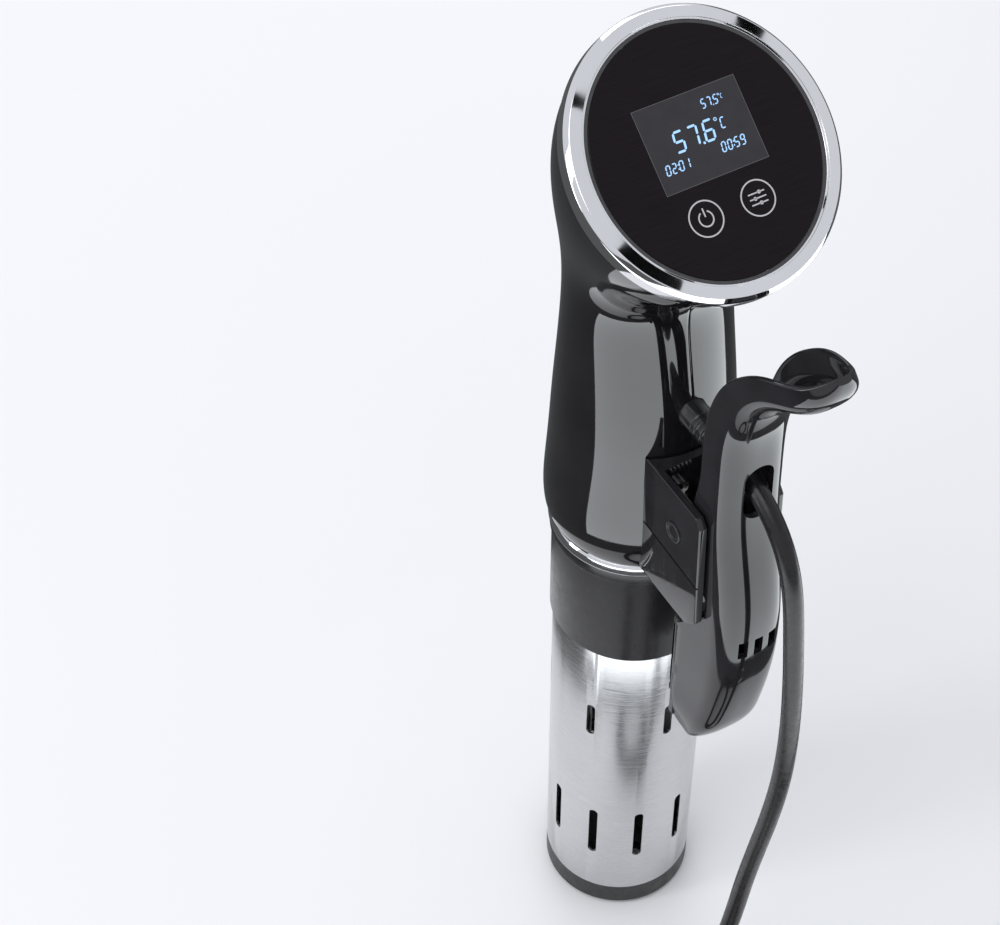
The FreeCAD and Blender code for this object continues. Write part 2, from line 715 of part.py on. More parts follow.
# Sections of the lever from the jaw's toe to the thumb scoop: open side's middle (Y, Z), the way its back
# faces as an angle down from straight out, half width, straight depth of the side, crown of the back.
LEVER_SECTIONS = (
    (-2.5, -59.0, 8.0, 10.4, 9.0, 4.0),
    (-2.5, -52.0, 2.0, 11.4, 11.5, 7.0),
    (-2.5, -41.0, 0.0, 11.5, 14.0, 8.6),
    (-2.5, -25.0, 0.0, 11.5, 16.2, 9.6),
    (-2.5, -5.0, 0.0, 11.5, 17.4, 10.4),
    (-2.7, 13.0, 0.0, 11.5, 16.4, 10.4),
    (-3.2, 29.0, 0.0, 11.5, 13.4, 10.0),
    (-4.6, 42.0, 0.0, 11.5, 9.8, 9.6),
    (-6.8, 53.0, 0.0, 11.5, 6.6, 9.3),
    (-8.2, 66.0, 0.0, 11.5, 4.7, 9.2),
    (-8.2, 81.0, 0.0, 11.5, 4.5, 9.2),
    (-9.9, 93.5, 12.0, 11.5, 4.4, 9.2),
    (-15.0, 106.5, 34.0, 11.5, 4.3, 9.2),
    (-23.0, 117.0, 50.0, 11.5, 4.1, 9.0),
    (-33.0, 125.0, 58.0, 11.2, 3.6, 8.6),
    (-42.0, 129.4, 52.0, 9.4, 2.6, 7.2),
    (-48.0, 133.6, 38.0, 5.9, 1.7, 3.8),
    (-50.6, 136.4, 32.0, 2.4, 0.9, 1.4),
)
LEVER_SLOT_X = 5.2
LEVER_SLOT_HEIGHT = 0.0
JAW_TOP = -12.0
PAD_BELOW_JAW_TOP = 3.5


def lever_wire(section, wall, lift):
    """One closed section of the lever: straight sides and a half-elliptic back, inset by wall."""
    y, z, angle, half, skirt, crown = section
    angle = math.radians(angle)
    back = Vector(0, -math.cos(angle), -math.sin(angle))
    start = Vector(0, y, z) - back * lift
    across = Vector(1, 0, 0)
    half = max(half - wall, 0.6)
    crown = max(crown - wall, 0.5)
    skirt += lift
    spring = start + back * skirt
    left = spring - across * half
    right = spring + across * half
    major, minor = (right, spring + back * crown) if half >= crown else (spring + back * crown, right)
    curve = Part.Ellipse(major, minor, spring)
    first, last = curve.parameter(left), curve.parameter(right)
    tip = curve.parameter(spring + back * crown)
    if not first < tip < last:
        last += 2 * math.pi
    if not first < tip < last:
        first, last = last - 2 * math.pi, curve.parameter(left)
    arc = Part.ArcOfEllipse(curve, first, last).toShape()
    return Part.Wire([
        Part.LineSegment(start - across * half, left).toShape(),
        arc,
        Part.LineSegment(right, start + across * half).toShape(),
        Part.LineSegment(start + across * half, start - across * half).toShape(),
    ])


def make_lever():
    """The clamp lever: a hollow jaw below, an open channel above that curls out into a thumb scoop."""
    wall = cell("lever_wall")
    outer = Part.makeLoft([lever_wire(s, 0.0, 0.0) for s in LEVER_SECTIONS], True, False)
    hollow = [list(s) for s in LEVER_SECTIONS[1:-1]]
    hollow[0][1] -= 4.5
    void = Part.makeLoft([lever_wire(s, wall, 3.0) for s in hollow], True, False)
    jaw = Part.makeBox(60, 2.2, 60, Vector(-30, -4.7, JAW_TOP - 60))
    shell = outer.cut(void).fuse(outer.common(jaw))
    half = cell("lever_half")
    for side in (-1, 1):
        inner = side * half if side < 0 else half - wall
        ear = Part.makeCylinder(cell("ear_radius"), wall, Vector(inner, PIVOT.y, PIVOT.z), Vector(1, 0, 0))
        shell = shell.fuse(ear)
    blank = frozen("lever_blank", shell)
    notch = plate_part("jaw_notch", "YZ_Plane", [
        ("6", repr(JAW_TOP)),
        ("-2.5", repr(JAW_TOP)),
        ("-17", repr(JAW_TOP + 17.5)),
        ("-17", "14"),
        ("-8.5", "22.5"),
        ("6", "22.5"),
    ], "60")
    tools = [notch, cylinder("pin_radius + 0.05", "60", PIVOT - Vector(30, 0, 0), (1, 0, 0))]
    for index in (-1, 0, 1):
        place = Vector(index * LEVER_SLOT_X, -26.0, LEVER_SLOT_HEIGHT)
        tools.append(box(("lever_slot_wide", "24", "lever_slot_tall"), place))
    middle = Vector(0, -24.0, cell("window_height"))
    tools.append(box(("window_wide", "20", "window_tall - window_wide"), middle))
    for side in (-1, 1):
        end = middle + Vector(0, 10.0, side * value("(window_tall - window_wide) / 2"))
        tools.append(cylinder("window_wide / 2", "20", end, (0, -1, 0)))
    node(cut(blank, *tools), "clamp_lever")
    pad_middle = LEVER_SECTIONS[0][0] + 0.05 + cell("pad_thick") / 2
    place = Vector(0, pad_middle, JAW_TOP - PAD_BELOW_JAW_TOP - cell("pad_tall") / 2)
    node(box(("pad_wide", "pad_thick", "pad_tall"), place), "jaw_pad")


# --- cord ---------------------------------------------------------------------------------------------

CORD_ROUTE = (
    (0.0, -8.0, 64.0),
    (0.0, -18.0, 63.7),
    (0.0, -27.4, 60.2),
    (0.0, -35.2, 54.0),
    (0.0, -40.6, 45.6),
    (0.0, -43.9, 35.0),
    (0.0, -46.2, 20.4),
    (0.0, -48.9, 0.0),
    (0.0, -50.4, -22.0),
    (0.0, -49.9, -46.0),
    (0.0, -46.8, -71.0),
    (0.0, -42.2, -97.0),
    (0.0, -38.4, -120.0),
    (-0.6, -36.4, -140.0),
    (-4.2, -36.2, -160.0),
    (-13.0, -36.9, -178.2),
    (-28.0, -37.8, -191.4),
    (-47.0, -38.4, -196.85),
)
COIL_CENTRE = Vector(-51.0, -76.2, 0)
PLUG_LENGTH = 36.0
RELIEF_RIBS = 5
RELIEF_RIB_PITCH = 3.0
RELIEF_GROWTH = 0.18
TAIL_ROUTE = (
    (-53.0, -113.9, -190.5),
    (-43.0, -114.1, -189.8),
    (-32.0, -114.5, -187.0),
    (-22.0, -114.8, -183.6),
    (-12.0, -114.9, -182.0),
)


def bent_wire(route):
    """Straight runs joined by arcs, each arc as large as its two runs allow."""
    points = [Vector(*point) for point in route]
    edges = []
    start = points[0]
    radii = []
    for before, corner, after in zip(points, points[1:], points[2:]):
        inward = (before - corner).normalize()
        outward = (after - corner).normalize()
        reach = 0.45 * min(before.distanceToPoint(corner), corner.distanceToPoint(after))
        half_turn = (math.pi - inward.getAngle(outward)) / 2
        radius = reach / math.tan(half_turn)
        radii.append(radius)
        first = corner + inward * reach
        last = corner + outward * reach
        bisector = (inward + outward).normalize()
        crest = corner + bisector * (radius / math.cos(half_turn) - radius)
        edges.append(Part.LineSegment(start, first).toShape())
        edges.append(Part.Arc(first, crest, last).toShape())
        start = last
    edges.append(Part.LineSegment(start, points[-1]).toShape())
    return Part.Wire(edges), radii


def cord_tube(name, route):
    """A round cord along a route, its volume compared with its section times its length."""
    path, radii = bent_wire(route)
    start = Vector(*route[0])
    direction = Vector(*route[1]) - start
    section = Part.Wire([Part.Circle(start, direction, cell("cord_radius")).toShape()])
    solid = path.makePipeShell([section], True, False)
    expected = math.pi * cell("cord_radius") ** 2 * path.Length
    print(name, "length %.1f" % path.Length, "radii", " ".join("%.0f" % radius for radius in radii),
          "volume ratio %.4f" % (solid.Volume / expected))
    return frozen(name, solid)


def make_cord():
    """Strain relief, hanging cord, put-away coil with its tie, and the two-pin plug."""
    outline = [("0", "0"), ("cord_radius + 0.5", "0")]
    for rib in range(RELIEF_RIBS):
        low = 1.6 + RELIEF_RIB_PITCH * rib
        step = RELIEF_GROWTH * rib
        outline.append(("cord_radius + %r" % (0.5 + step), repr(low)))
        outline.append(("cord_radius + %r" % (1.1 + step * 0.6), repr(low + 0.1)))
        outline.append(("cord_radius + %r" % (1.1 + step * 0.6), repr(low + 1.7)))
        outline.append(("cord_radius + %r" % (0.6 + step), repr(low + 1.8)))
    outline += [
        ("cord_radius + relief_barrel", "16"),
        ("cord_radius + relief_barrel", "26"),
        ("cord_radius + relief_flange", "26"),
        ("cord_radius + relief_flange", "29"),
        ("0", "29"),
    ]
    relief = turned_part("strain_relief", outline, Vector())
    relief.Placement = turned(CORD_EXIT, (0, 1, 0))
    node(relief, "strain_relief")
    node(cord_tube("cord", CORD_ROUTE), "cord")
    mean = cell("coil_radius")
    radius = cell("cord_radius")
    thick = 2 * radius + 0.1
    floor = cell("cap_low")
    bevel = 2.0
    inside, outside, top = mean - thick, mean + thick, floor + 2 * thick
    corners = [
        (inside + bevel, floor), (outside - bevel, floor), (outside, floor + bevel),
        (outside, top - bevel), (outside - bevel, top), (inside + bevel, top),
        (inside, top - bevel), (inside, floor + bevel),
    ]
    outline = [(repr(across), repr(height)) for across, height in corners]
    node(turned_part("coil", outline, COIL_CENTRE), "cord_coil")
    node(cord_tube("cord_tail", TAIL_ROUTE), "cord_tail")
    plug = turned_part("plug", [
        ("0", "0"),
        ("cord_radius + 0.8", "0"),
        ("cord_radius + 2.6", "12"),
        ("plug_radius - 6", "16"),
        ("plug_radius - 4.5", "26"),
        ("plug_radius", "29"),
        ("plug_radius", repr(PLUG_LENGTH - 1.0)),
        ("plug_radius - 0.8", repr(PLUG_LENGTH)),
        ("0", repr(PLUG_LENGTH)),
    ], Vector())
    end = Vector(*TAIL_ROUTE[-1])
    plug.Placement = turned(end, (1, 0, 0))
    node(plug, "plug")
    pins = []
    for side in (-1, 1):
        start = end + Vector(PLUG_LENGTH + cell("fit_gap"), side * cell("plug_pin_apart") / 2, 0)
        pins.append(cylinder("plug_pin_radius", "plug_pin_long", start, (1, 0, 0)))
    node(fuse(*pins), "plug_pins")


# --- build --------------------------------------------------------------------------------------------

for make in (make_housing, make_shell_screws, make_trim, make_collar, make_sleeve, make_base_cap,
             make_display, make_drive, make_heating, make_electronics, make_bracket, make_pivot,
             make_lever, make_cord):
    make()
doc.recompute()

for obj in doc.Objects:
    if "Invalid" in obj.State or "Error" in obj.State:
        raise RuntimeError("%s failed: %s" % (obj.Name, obj.State))
for obj in NODES:
    if obj.Shape.isNull() or not obj.Shape.isValid():
        raise RuntimeError("%s has no valid shape" % obj.Label)

os.makedirs("parts", exist_ok=True)
for obj in NODES:
    obj.Shape.exportStep("parts/%s.step" % obj.Label)
print(len(NODES), "nodes")
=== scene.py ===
"""Visual model of a clamp-on immersion circulator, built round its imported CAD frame.

The file is laid out as an add-on: settings, one operator for each piece or group of
like pieces, one for the studio, and a panel that lists them. It is run as a script.
"""
import math
from itertools import product
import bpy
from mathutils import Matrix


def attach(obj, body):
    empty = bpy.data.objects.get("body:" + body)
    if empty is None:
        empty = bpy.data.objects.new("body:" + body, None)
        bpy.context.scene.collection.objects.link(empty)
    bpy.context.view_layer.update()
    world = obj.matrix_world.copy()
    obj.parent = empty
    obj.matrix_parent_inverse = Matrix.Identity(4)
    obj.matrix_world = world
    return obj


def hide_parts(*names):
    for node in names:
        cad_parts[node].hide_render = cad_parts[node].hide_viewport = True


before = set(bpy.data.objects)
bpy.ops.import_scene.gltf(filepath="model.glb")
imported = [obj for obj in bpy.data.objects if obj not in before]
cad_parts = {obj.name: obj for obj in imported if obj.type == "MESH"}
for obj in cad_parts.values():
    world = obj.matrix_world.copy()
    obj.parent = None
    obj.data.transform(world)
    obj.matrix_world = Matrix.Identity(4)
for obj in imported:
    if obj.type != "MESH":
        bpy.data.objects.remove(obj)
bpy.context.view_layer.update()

from types import SimpleNamespace

import bmesh
import bpy
import numpy as np
from bpy.props import FloatProperty, FloatVectorProperty, IntProperty, PointerProperty
from bpy.types import Operator, Panel, PropertyGroup
from mathutils import Matrix, Vector

bl_info = {
    "name": "Immersion circulator",
    "version": (1, 0, 0),
    "blender": (4, 5, 0),
    "location": "3D View > Sidebar > Circulator",
    "description": "Builds the visual model of an immersion circulator round its frame",
    "category": "Object",
}

MM = 0.001
X = Vector((1.0, 0.0, 0.0))
Y = Vector((0.0, 1.0, 0.0))
Z = Vector((0.0, 0.0, 1.0))
TUBE_AXIS = Vector((0.0, 39.0, 0.0))
FLOOR = -200.0
DIGIT_HEIGHT = 6.1

# The face: its middle, and the ways across it, up its slope and out of it.
HEAD_TILT = math.radians(37.0)
FACE_MIDDLE = Vector((0.0, 18.0, 161.0))
FACE_UP = Vector((0.0, math.cos(HEAD_TILT), math.sin(HEAD_TILT)))
FACE_OUT = Vector((0.0, -math.sin(HEAD_TILT), math.cos(HEAD_TILT)))


# --- settings ---------------------------------------------------------------------------

def length(name, description, millimetres):
    """A size in metres that a user may change."""
    return FloatProperty(name=name, description=description, default=millimetres * MM,
                         subtype="DISTANCE", unit="LENGTH", precision=5)


def colour(name, description, red, green, blue):
    """A linear colour that a user may change."""
    return FloatVectorProperty(name=name, description=description, size=3, min=0.0,
                               max=1.0, default=(red, green, blue), subtype="COLOR")


class HousingSettings(PropertyGroup):
    """Sizes of the housing, its chrome trim and the immersion tube."""
    wall: length("Wall", "Thickness of the shells", 2.2)
    seam: length("Seam", "Width of the bevel at the parting line", 0.22)
    tube_radius: length("Tube radius", "Outer radius of the steel sleeve", 26.4)
    trim_radius: length("Trim radius", "Outer radius of the chrome ring", 28.7)


class DisplaySettings(PropertyGroup):
    """Sizes of the oval display."""
    ring_half_x: length("Ring half width", "Half the bezel's width across", 40.0)
    ring_half_s: length("Ring half height", "Half the bezel's height up the slope", 41.8)
    glass_half_x: length("Glass half width", "Half the glass's width across", 33.4)
    glass_half_s: length("Glass half height", "Half the glass's height", 35.8)
    digit_height: length("Digit height", "Height of the large digits", DIGIT_HEIGHT)


class ClampSettings(PropertyGroup):
    """Sizes of the clamp's bracket, lever and pad."""
    lever_wall: length("Lever wall", "Thickness of the lever's shell", 2.0)
    plate: length("Plate", "Thickness of the bracket's side plates", 2.8)
    plate_inner: length("Plate inner face", "From the middle to a plate", 12.1)
    edge: length("Edge rounding", "Rounding of the bracket's edges", 0.45)


class CordSettings(PropertyGroup):
    """Sizes of the mains cord."""
    diameter: length("Diameter", "Outer diameter of the cord", 6.3)
    total: length("Length", "Whole length of the cord from its exit to the plug", 1110.0)
    turn_points: IntProperty(name="Points in a turn", default=24, min=12, max=48,
                             description="Control points in one turn of the coil")


class StudioSettings(PropertyGroup):
    """Lights and backdrop."""
    lens: FloatProperty(name="Lens", description="Focal length in millimetres",
                        default=90.0, min=20.0, max=300.0)
    key: FloatProperty(name="Key light", description="Power of the overhead softbox",
                       default=5.0, min=0.0, subtype="POWER", unit="POWER")
    surround: FloatProperty(name="Surround", description="Strength of the pale surround",
                            default=0.78, min=0.0, max=5.0)
    sweep: FloatProperty(name="Sweep", description="Strength of the sweep that gloss reflects",
                         default=2.7, min=0.0, max=20.0)


class FinishSettings(PropertyGroup):
    """Base colours of the finishes."""
    shell: colour("Gloss shell", "High gloss black plastic", 0.010, 0.009, 0.011)
    trim: colour("Gloss trim", "Gloss black plastic of the clamp", 0.016, 0.015, 0.018)
    chrome: colour("Chrome", "Polished chrome", 0.80, 0.80, 0.82)
    steel: colour("Steel", "Brushed stainless steel", 0.62, 0.62, 0.63)
    glass: colour("Glass", "Black printed glass", 0.0085, 0.0055, 0.0080)
    panel: colour("Display panel", "Lit background of the display", 0.034, 0.032, 0.036)
    digits: colour("Digits", "Lit segments of the display", 0.33, 0.60, 1.0)
    cord: colour("Cord", "Satin cord sheath", 0.009, 0.008, 0.010)


SETTINGS = {
    "circulator_housing": HousingSettings,
    "circulator_display": DisplaySettings,
    "circulator_clamp": ClampSettings,
    "circulator_cord": CordSettings,
    "circulator_studio": StudioSettings,
    "circulator_finish": FinishSettings,
}


# --- shaping ----------------------------------------------------------------------------

# A flat panel has at least this many corners and this area in square millimetres.
PANEL_CORNERS = 20
PANEL_AREA = 20.0
# Corners closer than this are one corner, in metres.
SAME_PLACE = 1e-7
# A corner that turns less than this is left as it is.
STRAIGHT = math.radians(178.0)
# Rows in the rounded edge of a slab.
EDGE_STEPS = 3


def piece(name, points, faces, crease=35.0):
    """A mesh object from points in millimetres, smooth but for edges above crease."""
    mesh = bpy.data.meshes.new(name)
    mesh.from_pydata([tuple(Vector(p) * MM) for p in points], [], faces)
    obj = bpy.data.objects.new(name, mesh)
    bpy.context.scene.collection.objects.link(obj)
    tidy_normals(obj, crease)
    return obj


def tidy_normals(obj, crease=35.0):
    """Faces outward, smooth shading, flat panels, sharp edges where it turns by crease."""
    mesh = obj.data
    shape = bmesh.new()
    shape.from_mesh(mesh)
    bmesh.ops.remove_doubles(shape, verts=shape.verts, dist=SAME_PLACE)
    loose = [edge for edge in shape.edges if not edge.link_faces]
    bmesh.ops.delete(shape, geom=loose, context="EDGES")
    bmesh.ops.recalc_face_normals(shape, faces=shape.faces)
    shape.to_mesh(mesh)
    shape.free()
    mesh.polygons.foreach_set("use_smooth", [True] * len(mesh.polygons))
    mesh.set_sharp_from_angle(angle=math.radians(crease))
    for face in mesh.polygons:
        if len(face.vertices) >= PANEL_CORNERS and face.area > PANEL_AREA * MM * MM:
            face.use_smooth = False


def loft(name, rings, crease=35.0, caps=True, closed_way=False):
    """A skin over closed rings of equal length, capped at both ends or joined round."""
    count = len(rings[0])
    points = [p for ring in rings for p in ring]
    faces = []
    last = len(rings) if closed_way else len(rings) - 1
    for row in range(last):
        a, b = row * count, (row + 1) % len(rings) * count
        for k in range(count):
            n = (k + 1) % count
            faces.append((a + k, a + n, b + n, b + k))
    if caps and not closed_way:
        faces.append(tuple(reversed(range(count))))
        faces.append(tuple(range(len(points) - count, len(points))))
    return piece(name, points, faces, crease)


def soften(outline, radius, steps=4):
    """A flat outline with each corner rounded; a third number sets a corner's own radius."""
    out = []
    total = len(outline)
    for i, corner in enumerate(outline):
        here = Vector(corner[:2])
        reach = corner[2] if len(corner) > 2 else radius
        before = Vector(outline[i - 1][:2]) - here
        after = Vector(outline[(i + 1) % total][:2]) - here
        turn = before.angle(after)
        if reach <= 0 or turn > STRAIGHT:
            out.append(tuple(here))
            continue
        room = 0.49 * min(before.length, after.length)
        tangent = min(reach / math.tan(turn / 2), room)
        a = here + before.normalized() * tangent
        b = here + after.normalized() * tangent
        for step in range(steps + 1):
            t = step / steps
            out.append(tuple(a.lerp(here, t).lerp(here.lerp(b, t), t)))
    return out


def lathe(name, outline, centre=TUBE_AXIS, axis=Z, start=X, segments=144):
    """A closed outline of (radius, height) turned about an axis through centre."""
    side = axis.cross(start)
    rings = []
    for k in range(segments):
        angle = 2 * math.pi * k / segments
        out = start * math.cos(angle) + side * math.sin(angle)
        rings.append([Vector(centre) + out * max(r, 0.0) + axis * h for r, h in outline])
    return loft(name, rings, closed_way=True)


def slab(name, outline, low, high, across, up, out, origin=Vector(), edge=0.0):
    """A flat outline given across and up, made solid from low to high along out."""
    levels = [(0.0, low), (0.0, high)]
    if edge > 0:
        levels = []
        for step in range(EDGE_STEPS + 1):
            t = math.pi / 2 * step / EDGE_STEPS
            levels.append((edge * (1 - math.sin(t)), low + edge * (1 - math.cos(t))))
        levels += [(inset, low + high - h) for inset, h in reversed(levels)]
    rings = [[origin + across * p[0] + up * p[1] + out * h
              for p in inset_outline(outline, inset)] for inset, h in levels]
    return loft(name, rings, 40.0)


def inset_outline(outline, inset):
    """The outline drawn in by a small distance, corner for corner."""
    if not inset:
        return outline
    turn = 1.0 if signed_area(outline) > 0 else -1.0
    out = []
    total = len(outline)
    for i, p in enumerate(outline):
        here = Vector(p[:2])
        one = (here - Vector(outline[i - 1][:2])).normalized()
        two = (Vector(outline[(i + 1) % total][:2]) - here).normalized()
        one = Vector((-one.y, one.x)) * turn
        two = Vector((-two.y, two.x)) * turn
        both = (one + two).normalized()
        out.append(tuple(here + both * (inset / max(both.dot(one), 0.35))))
    return out


def signed_area(outline):
    """Twice an outline's area, above zero when its corners run anticlockwise."""
    return sum(a[0] * b[1] - b[0] * a[1] for a, b in zip(outline, outline[1:] + outline[:1]))


def rectangle(left, right, low, high):
    """An outline's four corners."""
    return [(left, low), (right, low), (right, high), (left, high)]


def round_about(angle):
    """The level direction at an angle in radians from X towards Y."""
    return Vector((math.cos(angle), math.sin(angle), 0.0))


def smooth_rows(stations, gap):
    """Rows no more than gap apart between stations, by a natural cubic through each number.

    The first two numbers of a station are its place along the piece.
    """
    values = np.array(stations, float)
    steps = np.hypot(*(values[1:, :2] - values[:-1, :2]).T)
    at = np.concatenate([[0.0], np.cumsum(steps)])
    size = len(at)
    left = np.zeros((size, size))
    right = np.zeros_like(values)
    left[0, 0] = left[-1, -1] = 1.0
    for i in range(1, size - 1):
        left[i, i - 1] = steps[i - 1]
        left[i, i] = 2 * (steps[i - 1] + steps[i])
        left[i, i + 1] = steps[i]
        right[i] = 6 * ((values[i + 1] - values[i]) / steps[i]
                        - (values[i] - values[i - 1]) / steps[i - 1])
    bend = np.linalg.solve(left, right)
    rows = []
    for i in range(size - 1):
        count = max(1, math.ceil(steps[i] / gap))
        for k in range(count + (i == size - 2)):
            b = k / count
            a = 1 - b
            rows.append(a * values[i] + b * values[i + 1]
                        + ((a ** 3 - a) * bend[i] + (b ** 3 - b) * bend[i + 1])
                        * steps[i] ** 2 / 6)
    return rows


def combine(obj, tools, operation="DIFFERENCE"):
    """Cuts the tools out of obj, or joins them to it, and keeps only the result."""
    for tool in tools:
        change = obj.modifiers.new("join", "BOOLEAN")
        change.operation = operation
        change.solver = "MANIFOLD"
        change.object = tool
        graph = bpy.context.evaluated_depsgraph_get()
        made = bpy.data.meshes.new_from_object(obj.evaluated_get(graph))
        obj.modifiers.remove(change)
        obj.data = made
        bpy.data.objects.remove(tool)
    tidy_normals(obj)
    return obj


def block(low, high, turn=Matrix()):
    """A plain box used only to cut with."""
    points = [turn @ Vector(corner) for corner in product(*zip(low, high))]
    faces = [(0, 1, 3, 2), (4, 6, 7, 5), (0, 4, 5, 1), (2, 3, 7, 6), (0, 2, 6, 4),
             (1, 5, 7, 3)]
    return piece("cutter", points, faces)


def rod(centre, radius, low, high, axis, start, segments=48):
    """A plain round bar used only to cut with."""
    return lathe("cutter", rectangle(0.0, radius, low, high), centre, axis, start, segments)


def capsule(wide, tall, steps=8):
    """An outline with round ends, wide across and tall up."""
    r = min(wide, tall) / 2
    a, b = wide / 2 - r, tall / 2 - r
    out = []
    for k in range(4):
        sx, sy = ((1, 1), (-1, 1), (-1, -1), (1, -1))[k]
        for step in range(steps + 1):
            t = math.pi / 2 * (k + step / steps)
            out.append((sx * a + r * math.cos(t), sy * b + r * math.sin(t)))
    return out


def oval(half_x, half_y, count):
    """An oval outline."""
    angles = [2 * math.pi * k / count for k in range(count)]
    return [(half_x * math.cos(angle), half_y * math.sin(angle)) for angle in angles]


def on_face(name, outline, low, high, edge=0.0):
    """A flat piece on the tilted face, from low to high above its middle."""
    return slab(name, outline, low, high, X, FACE_UP, FACE_OUT, FACE_MIDDLE, edge)


def face_point(x, y, height):
    """The place across, up and above the middle of the tilted face."""
    return FACE_MIDDLE + X * x + FACE_UP * y + FACE_OUT * height


def millimetres(group):
    """The sizes of a settings group, in millimetres."""
    names = type(group).__annotations__
    return SimpleNamespace(**{name: getattr(group, name) / MM for name in names})


def keep(obj, look, body, slot, *nodes):
    """Gives a piece its finish, the body it moves with and the CAD nodes it stands for."""
    obj.data.materials.clear()
    obj.data.materials.append(finish(look))
    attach(obj, body)
    if nodes:
        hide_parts(*nodes)
    return obj


# --- finishes ---------------------------------------------------------------------------

# Specular level of a surface that hardly mirrors.
LOW_GLARE = 0.12


class Finish:
    """A node material under construction."""

    def __init__(self, name, base, metallic=0.0, roughness=0.4, **sockets):
        self.material = bpy.data.materials.new(name)
        self.material.use_nodes = True
        self.tree = self.material.node_tree
        self.shader = self.tree.nodes["Principled BSDF"]
        self.base = tuple(base)
        self.set("Base Color", (*base, 1.0))
        self.set("Metallic", metallic)
        self.set("Roughness", roughness)
        for socket, value in sockets.items():
            self.set(socket.replace("_", " "), value)
        self.height = None

    def set(self, socket, value):
        """Sets a socket of the shader itself."""
        self.shader.inputs[socket].default_value = value

    def node(self, kind, **inputs):
        """A new node with its inputs set or linked."""
        made = self.tree.nodes.new(kind)
        for name, value in inputs.items():
            socket = made.inputs[name.replace("_", " ")]
            if isinstance(value, bpy.types.NodeSocket):
                self.tree.links.new(value, socket)
            else:
                socket.default_value = value
        return made

    def place(self, stretch=(1.0, 1.0, 1.0), uv=False):
        """Coordinates of the piece, stretched along its axes."""
        source = self.tree.nodes.new("ShaderNodeTexCoord")
        mapping = self.node("ShaderNodeMapping",
                            Vector=source.outputs["UV" if uv else "Object"])
        mapping.inputs["Scale"].default_value = stretch
        return mapping.outputs[0]

    def noise(self, scale, detail=3.0, stretch=(1.0, 1.0, 1.0), rough=0.5, uv=False):
        """Soft noise from 0 to 1."""
        made = self.node("ShaderNodeTexNoise", Vector=self.place(stretch, uv), Scale=scale,
                         Detail=detail, Roughness=rough)
        return made.outputs["Fac"]

    def ramp(self, source, low, high, start=0.35, end=0.65):
        """The source turned into colours or numbers from low to high."""
        made = self.node("ShaderNodeValToRGB", Fac=source)
        for stop, place, value in zip(made.color_ramp.elements, (start, end), (low, high)):
            stop.position = place
            stop.color = (*value, 1.0) if isinstance(value, tuple) else (value,) * 3 + (1.0,)
        return made.outputs["Color"]

    def vary(self, source, amount=0.25, start=0.3, end=0.7):
        """The base colour a little lighter and darker over the surface."""
        low = tuple(c * (1 - amount) for c in self.base)
        high = tuple(min(1.0, c * (1 + amount)) for c in self.base)
        self.tree.links.new(self.ramp(source, low, high, start, end),
                            self.shader.inputs["Base Color"])
        return self

    def rough(self, source, low, high, start=0.3, end=0.7):
        """Roughness from low to high over the surface."""
        self.tree.links.new(self.ramp(source, low, high, start, end),
                            self.shader.inputs["Roughness"])
        return self

    def bump(self, source, strength, depth):
        """Fine relief, added to any before it. Depth is in millimetres."""
        made = self.node("ShaderNodeBump", Height=source, Strength=strength,
                         Distance=depth * MM)
        if self.height is not None:
            self.tree.links.new(self.height, made.inputs["Normal"])
        self.height = made.outputs["Normal"]
        self.tree.links.new(self.height, self.shader.inputs["Normal"])
        return self


FINISHES = {}


def finish(name):
    """The finish of that name, made when it is first asked for."""
    if name not in FINISHES:
        FINISHES[name] = RECIPES[name](bpy.context.scene.circulator_finish)
    return FINISHES[name]


def gloss_shell(colours):
    """High gloss moulding: mirror-like, with a trace of flow waviness and faint smudges."""
    made = Finish("gloss_shell", colours.shell, roughness=0.05, IOR=1.56,
                  Coat_Weight=0.35, Coat_Roughness=0.03)
    made.vary(made.noise(60.0), 0.25)
    made.rough(made.noise(90.0, 5.0), 0.035, 0.085, 0.35, 0.75)
    made.bump(made.noise(35.0, 1.0), 0.05, 0.05)
    return made.material


def gloss_clamp(colours):
    """Gloss plastic of the clamp, a little greyer, with fine scuffs along the grip."""
    made = Finish("gloss_clamp", colours.trim, roughness=0.07, IOR=1.5)
    made.vary(made.noise(80.0), 0.25)
    made.rough(made.noise(260.0, 6.0, (1.0, 1.0, 0.25)), 0.045, 0.13, 0.45, 0.8)
    made.bump(made.noise(40.0, 1.0), 0.04, 0.05)
    return made.material


def grained_plastic(name, base, roughness=0.45, grain=1400.0, depth=0.03, uneven=1.0):
    """Moulded plastic with a spark-eroded grain, handled to an uneven sheen."""
    made = Finish(name, base, roughness=roughness, IOR=1.5)
    made.vary(made.noise(180.0), 0.18 * uneven)
    made.rough(made.noise(300.0), roughness - 0.07 * uneven, roughness + 0.1 * uneven)
    made.bump(made.noise(grain, 2.0), 0.5, depth)
    return made.material


def rubber(name, base, roughness=0.55):
    """Soft rubber with a dusty sheen and fine pores."""
    made = Finish(name, base, roughness=roughness, IOR=1.48, Sheen_Weight=0.15,
                  Sheen_Roughness=0.5)
    made.vary(made.noise(240.0), 0.2)
    made.rough(made.noise(500.0), roughness - 0.1, roughness + 0.1)
    made.bump(made.noise(2200.0, 3.0), 0.35, 0.02)
    return made.material


def polished(name, base, roughness=0.06):
    """Plated metal, with a breath of haze."""
    made = Finish(name, base, metallic=1.0, roughness=roughness)
    made.vary(made.noise(45.0), 0.03)
    made.rough(made.noise(120.0, 5.0), roughness * 0.6, roughness * 1.7)
    made.bump(made.noise(30.0, 1.0), 0.03, 0.03)
    return made.material


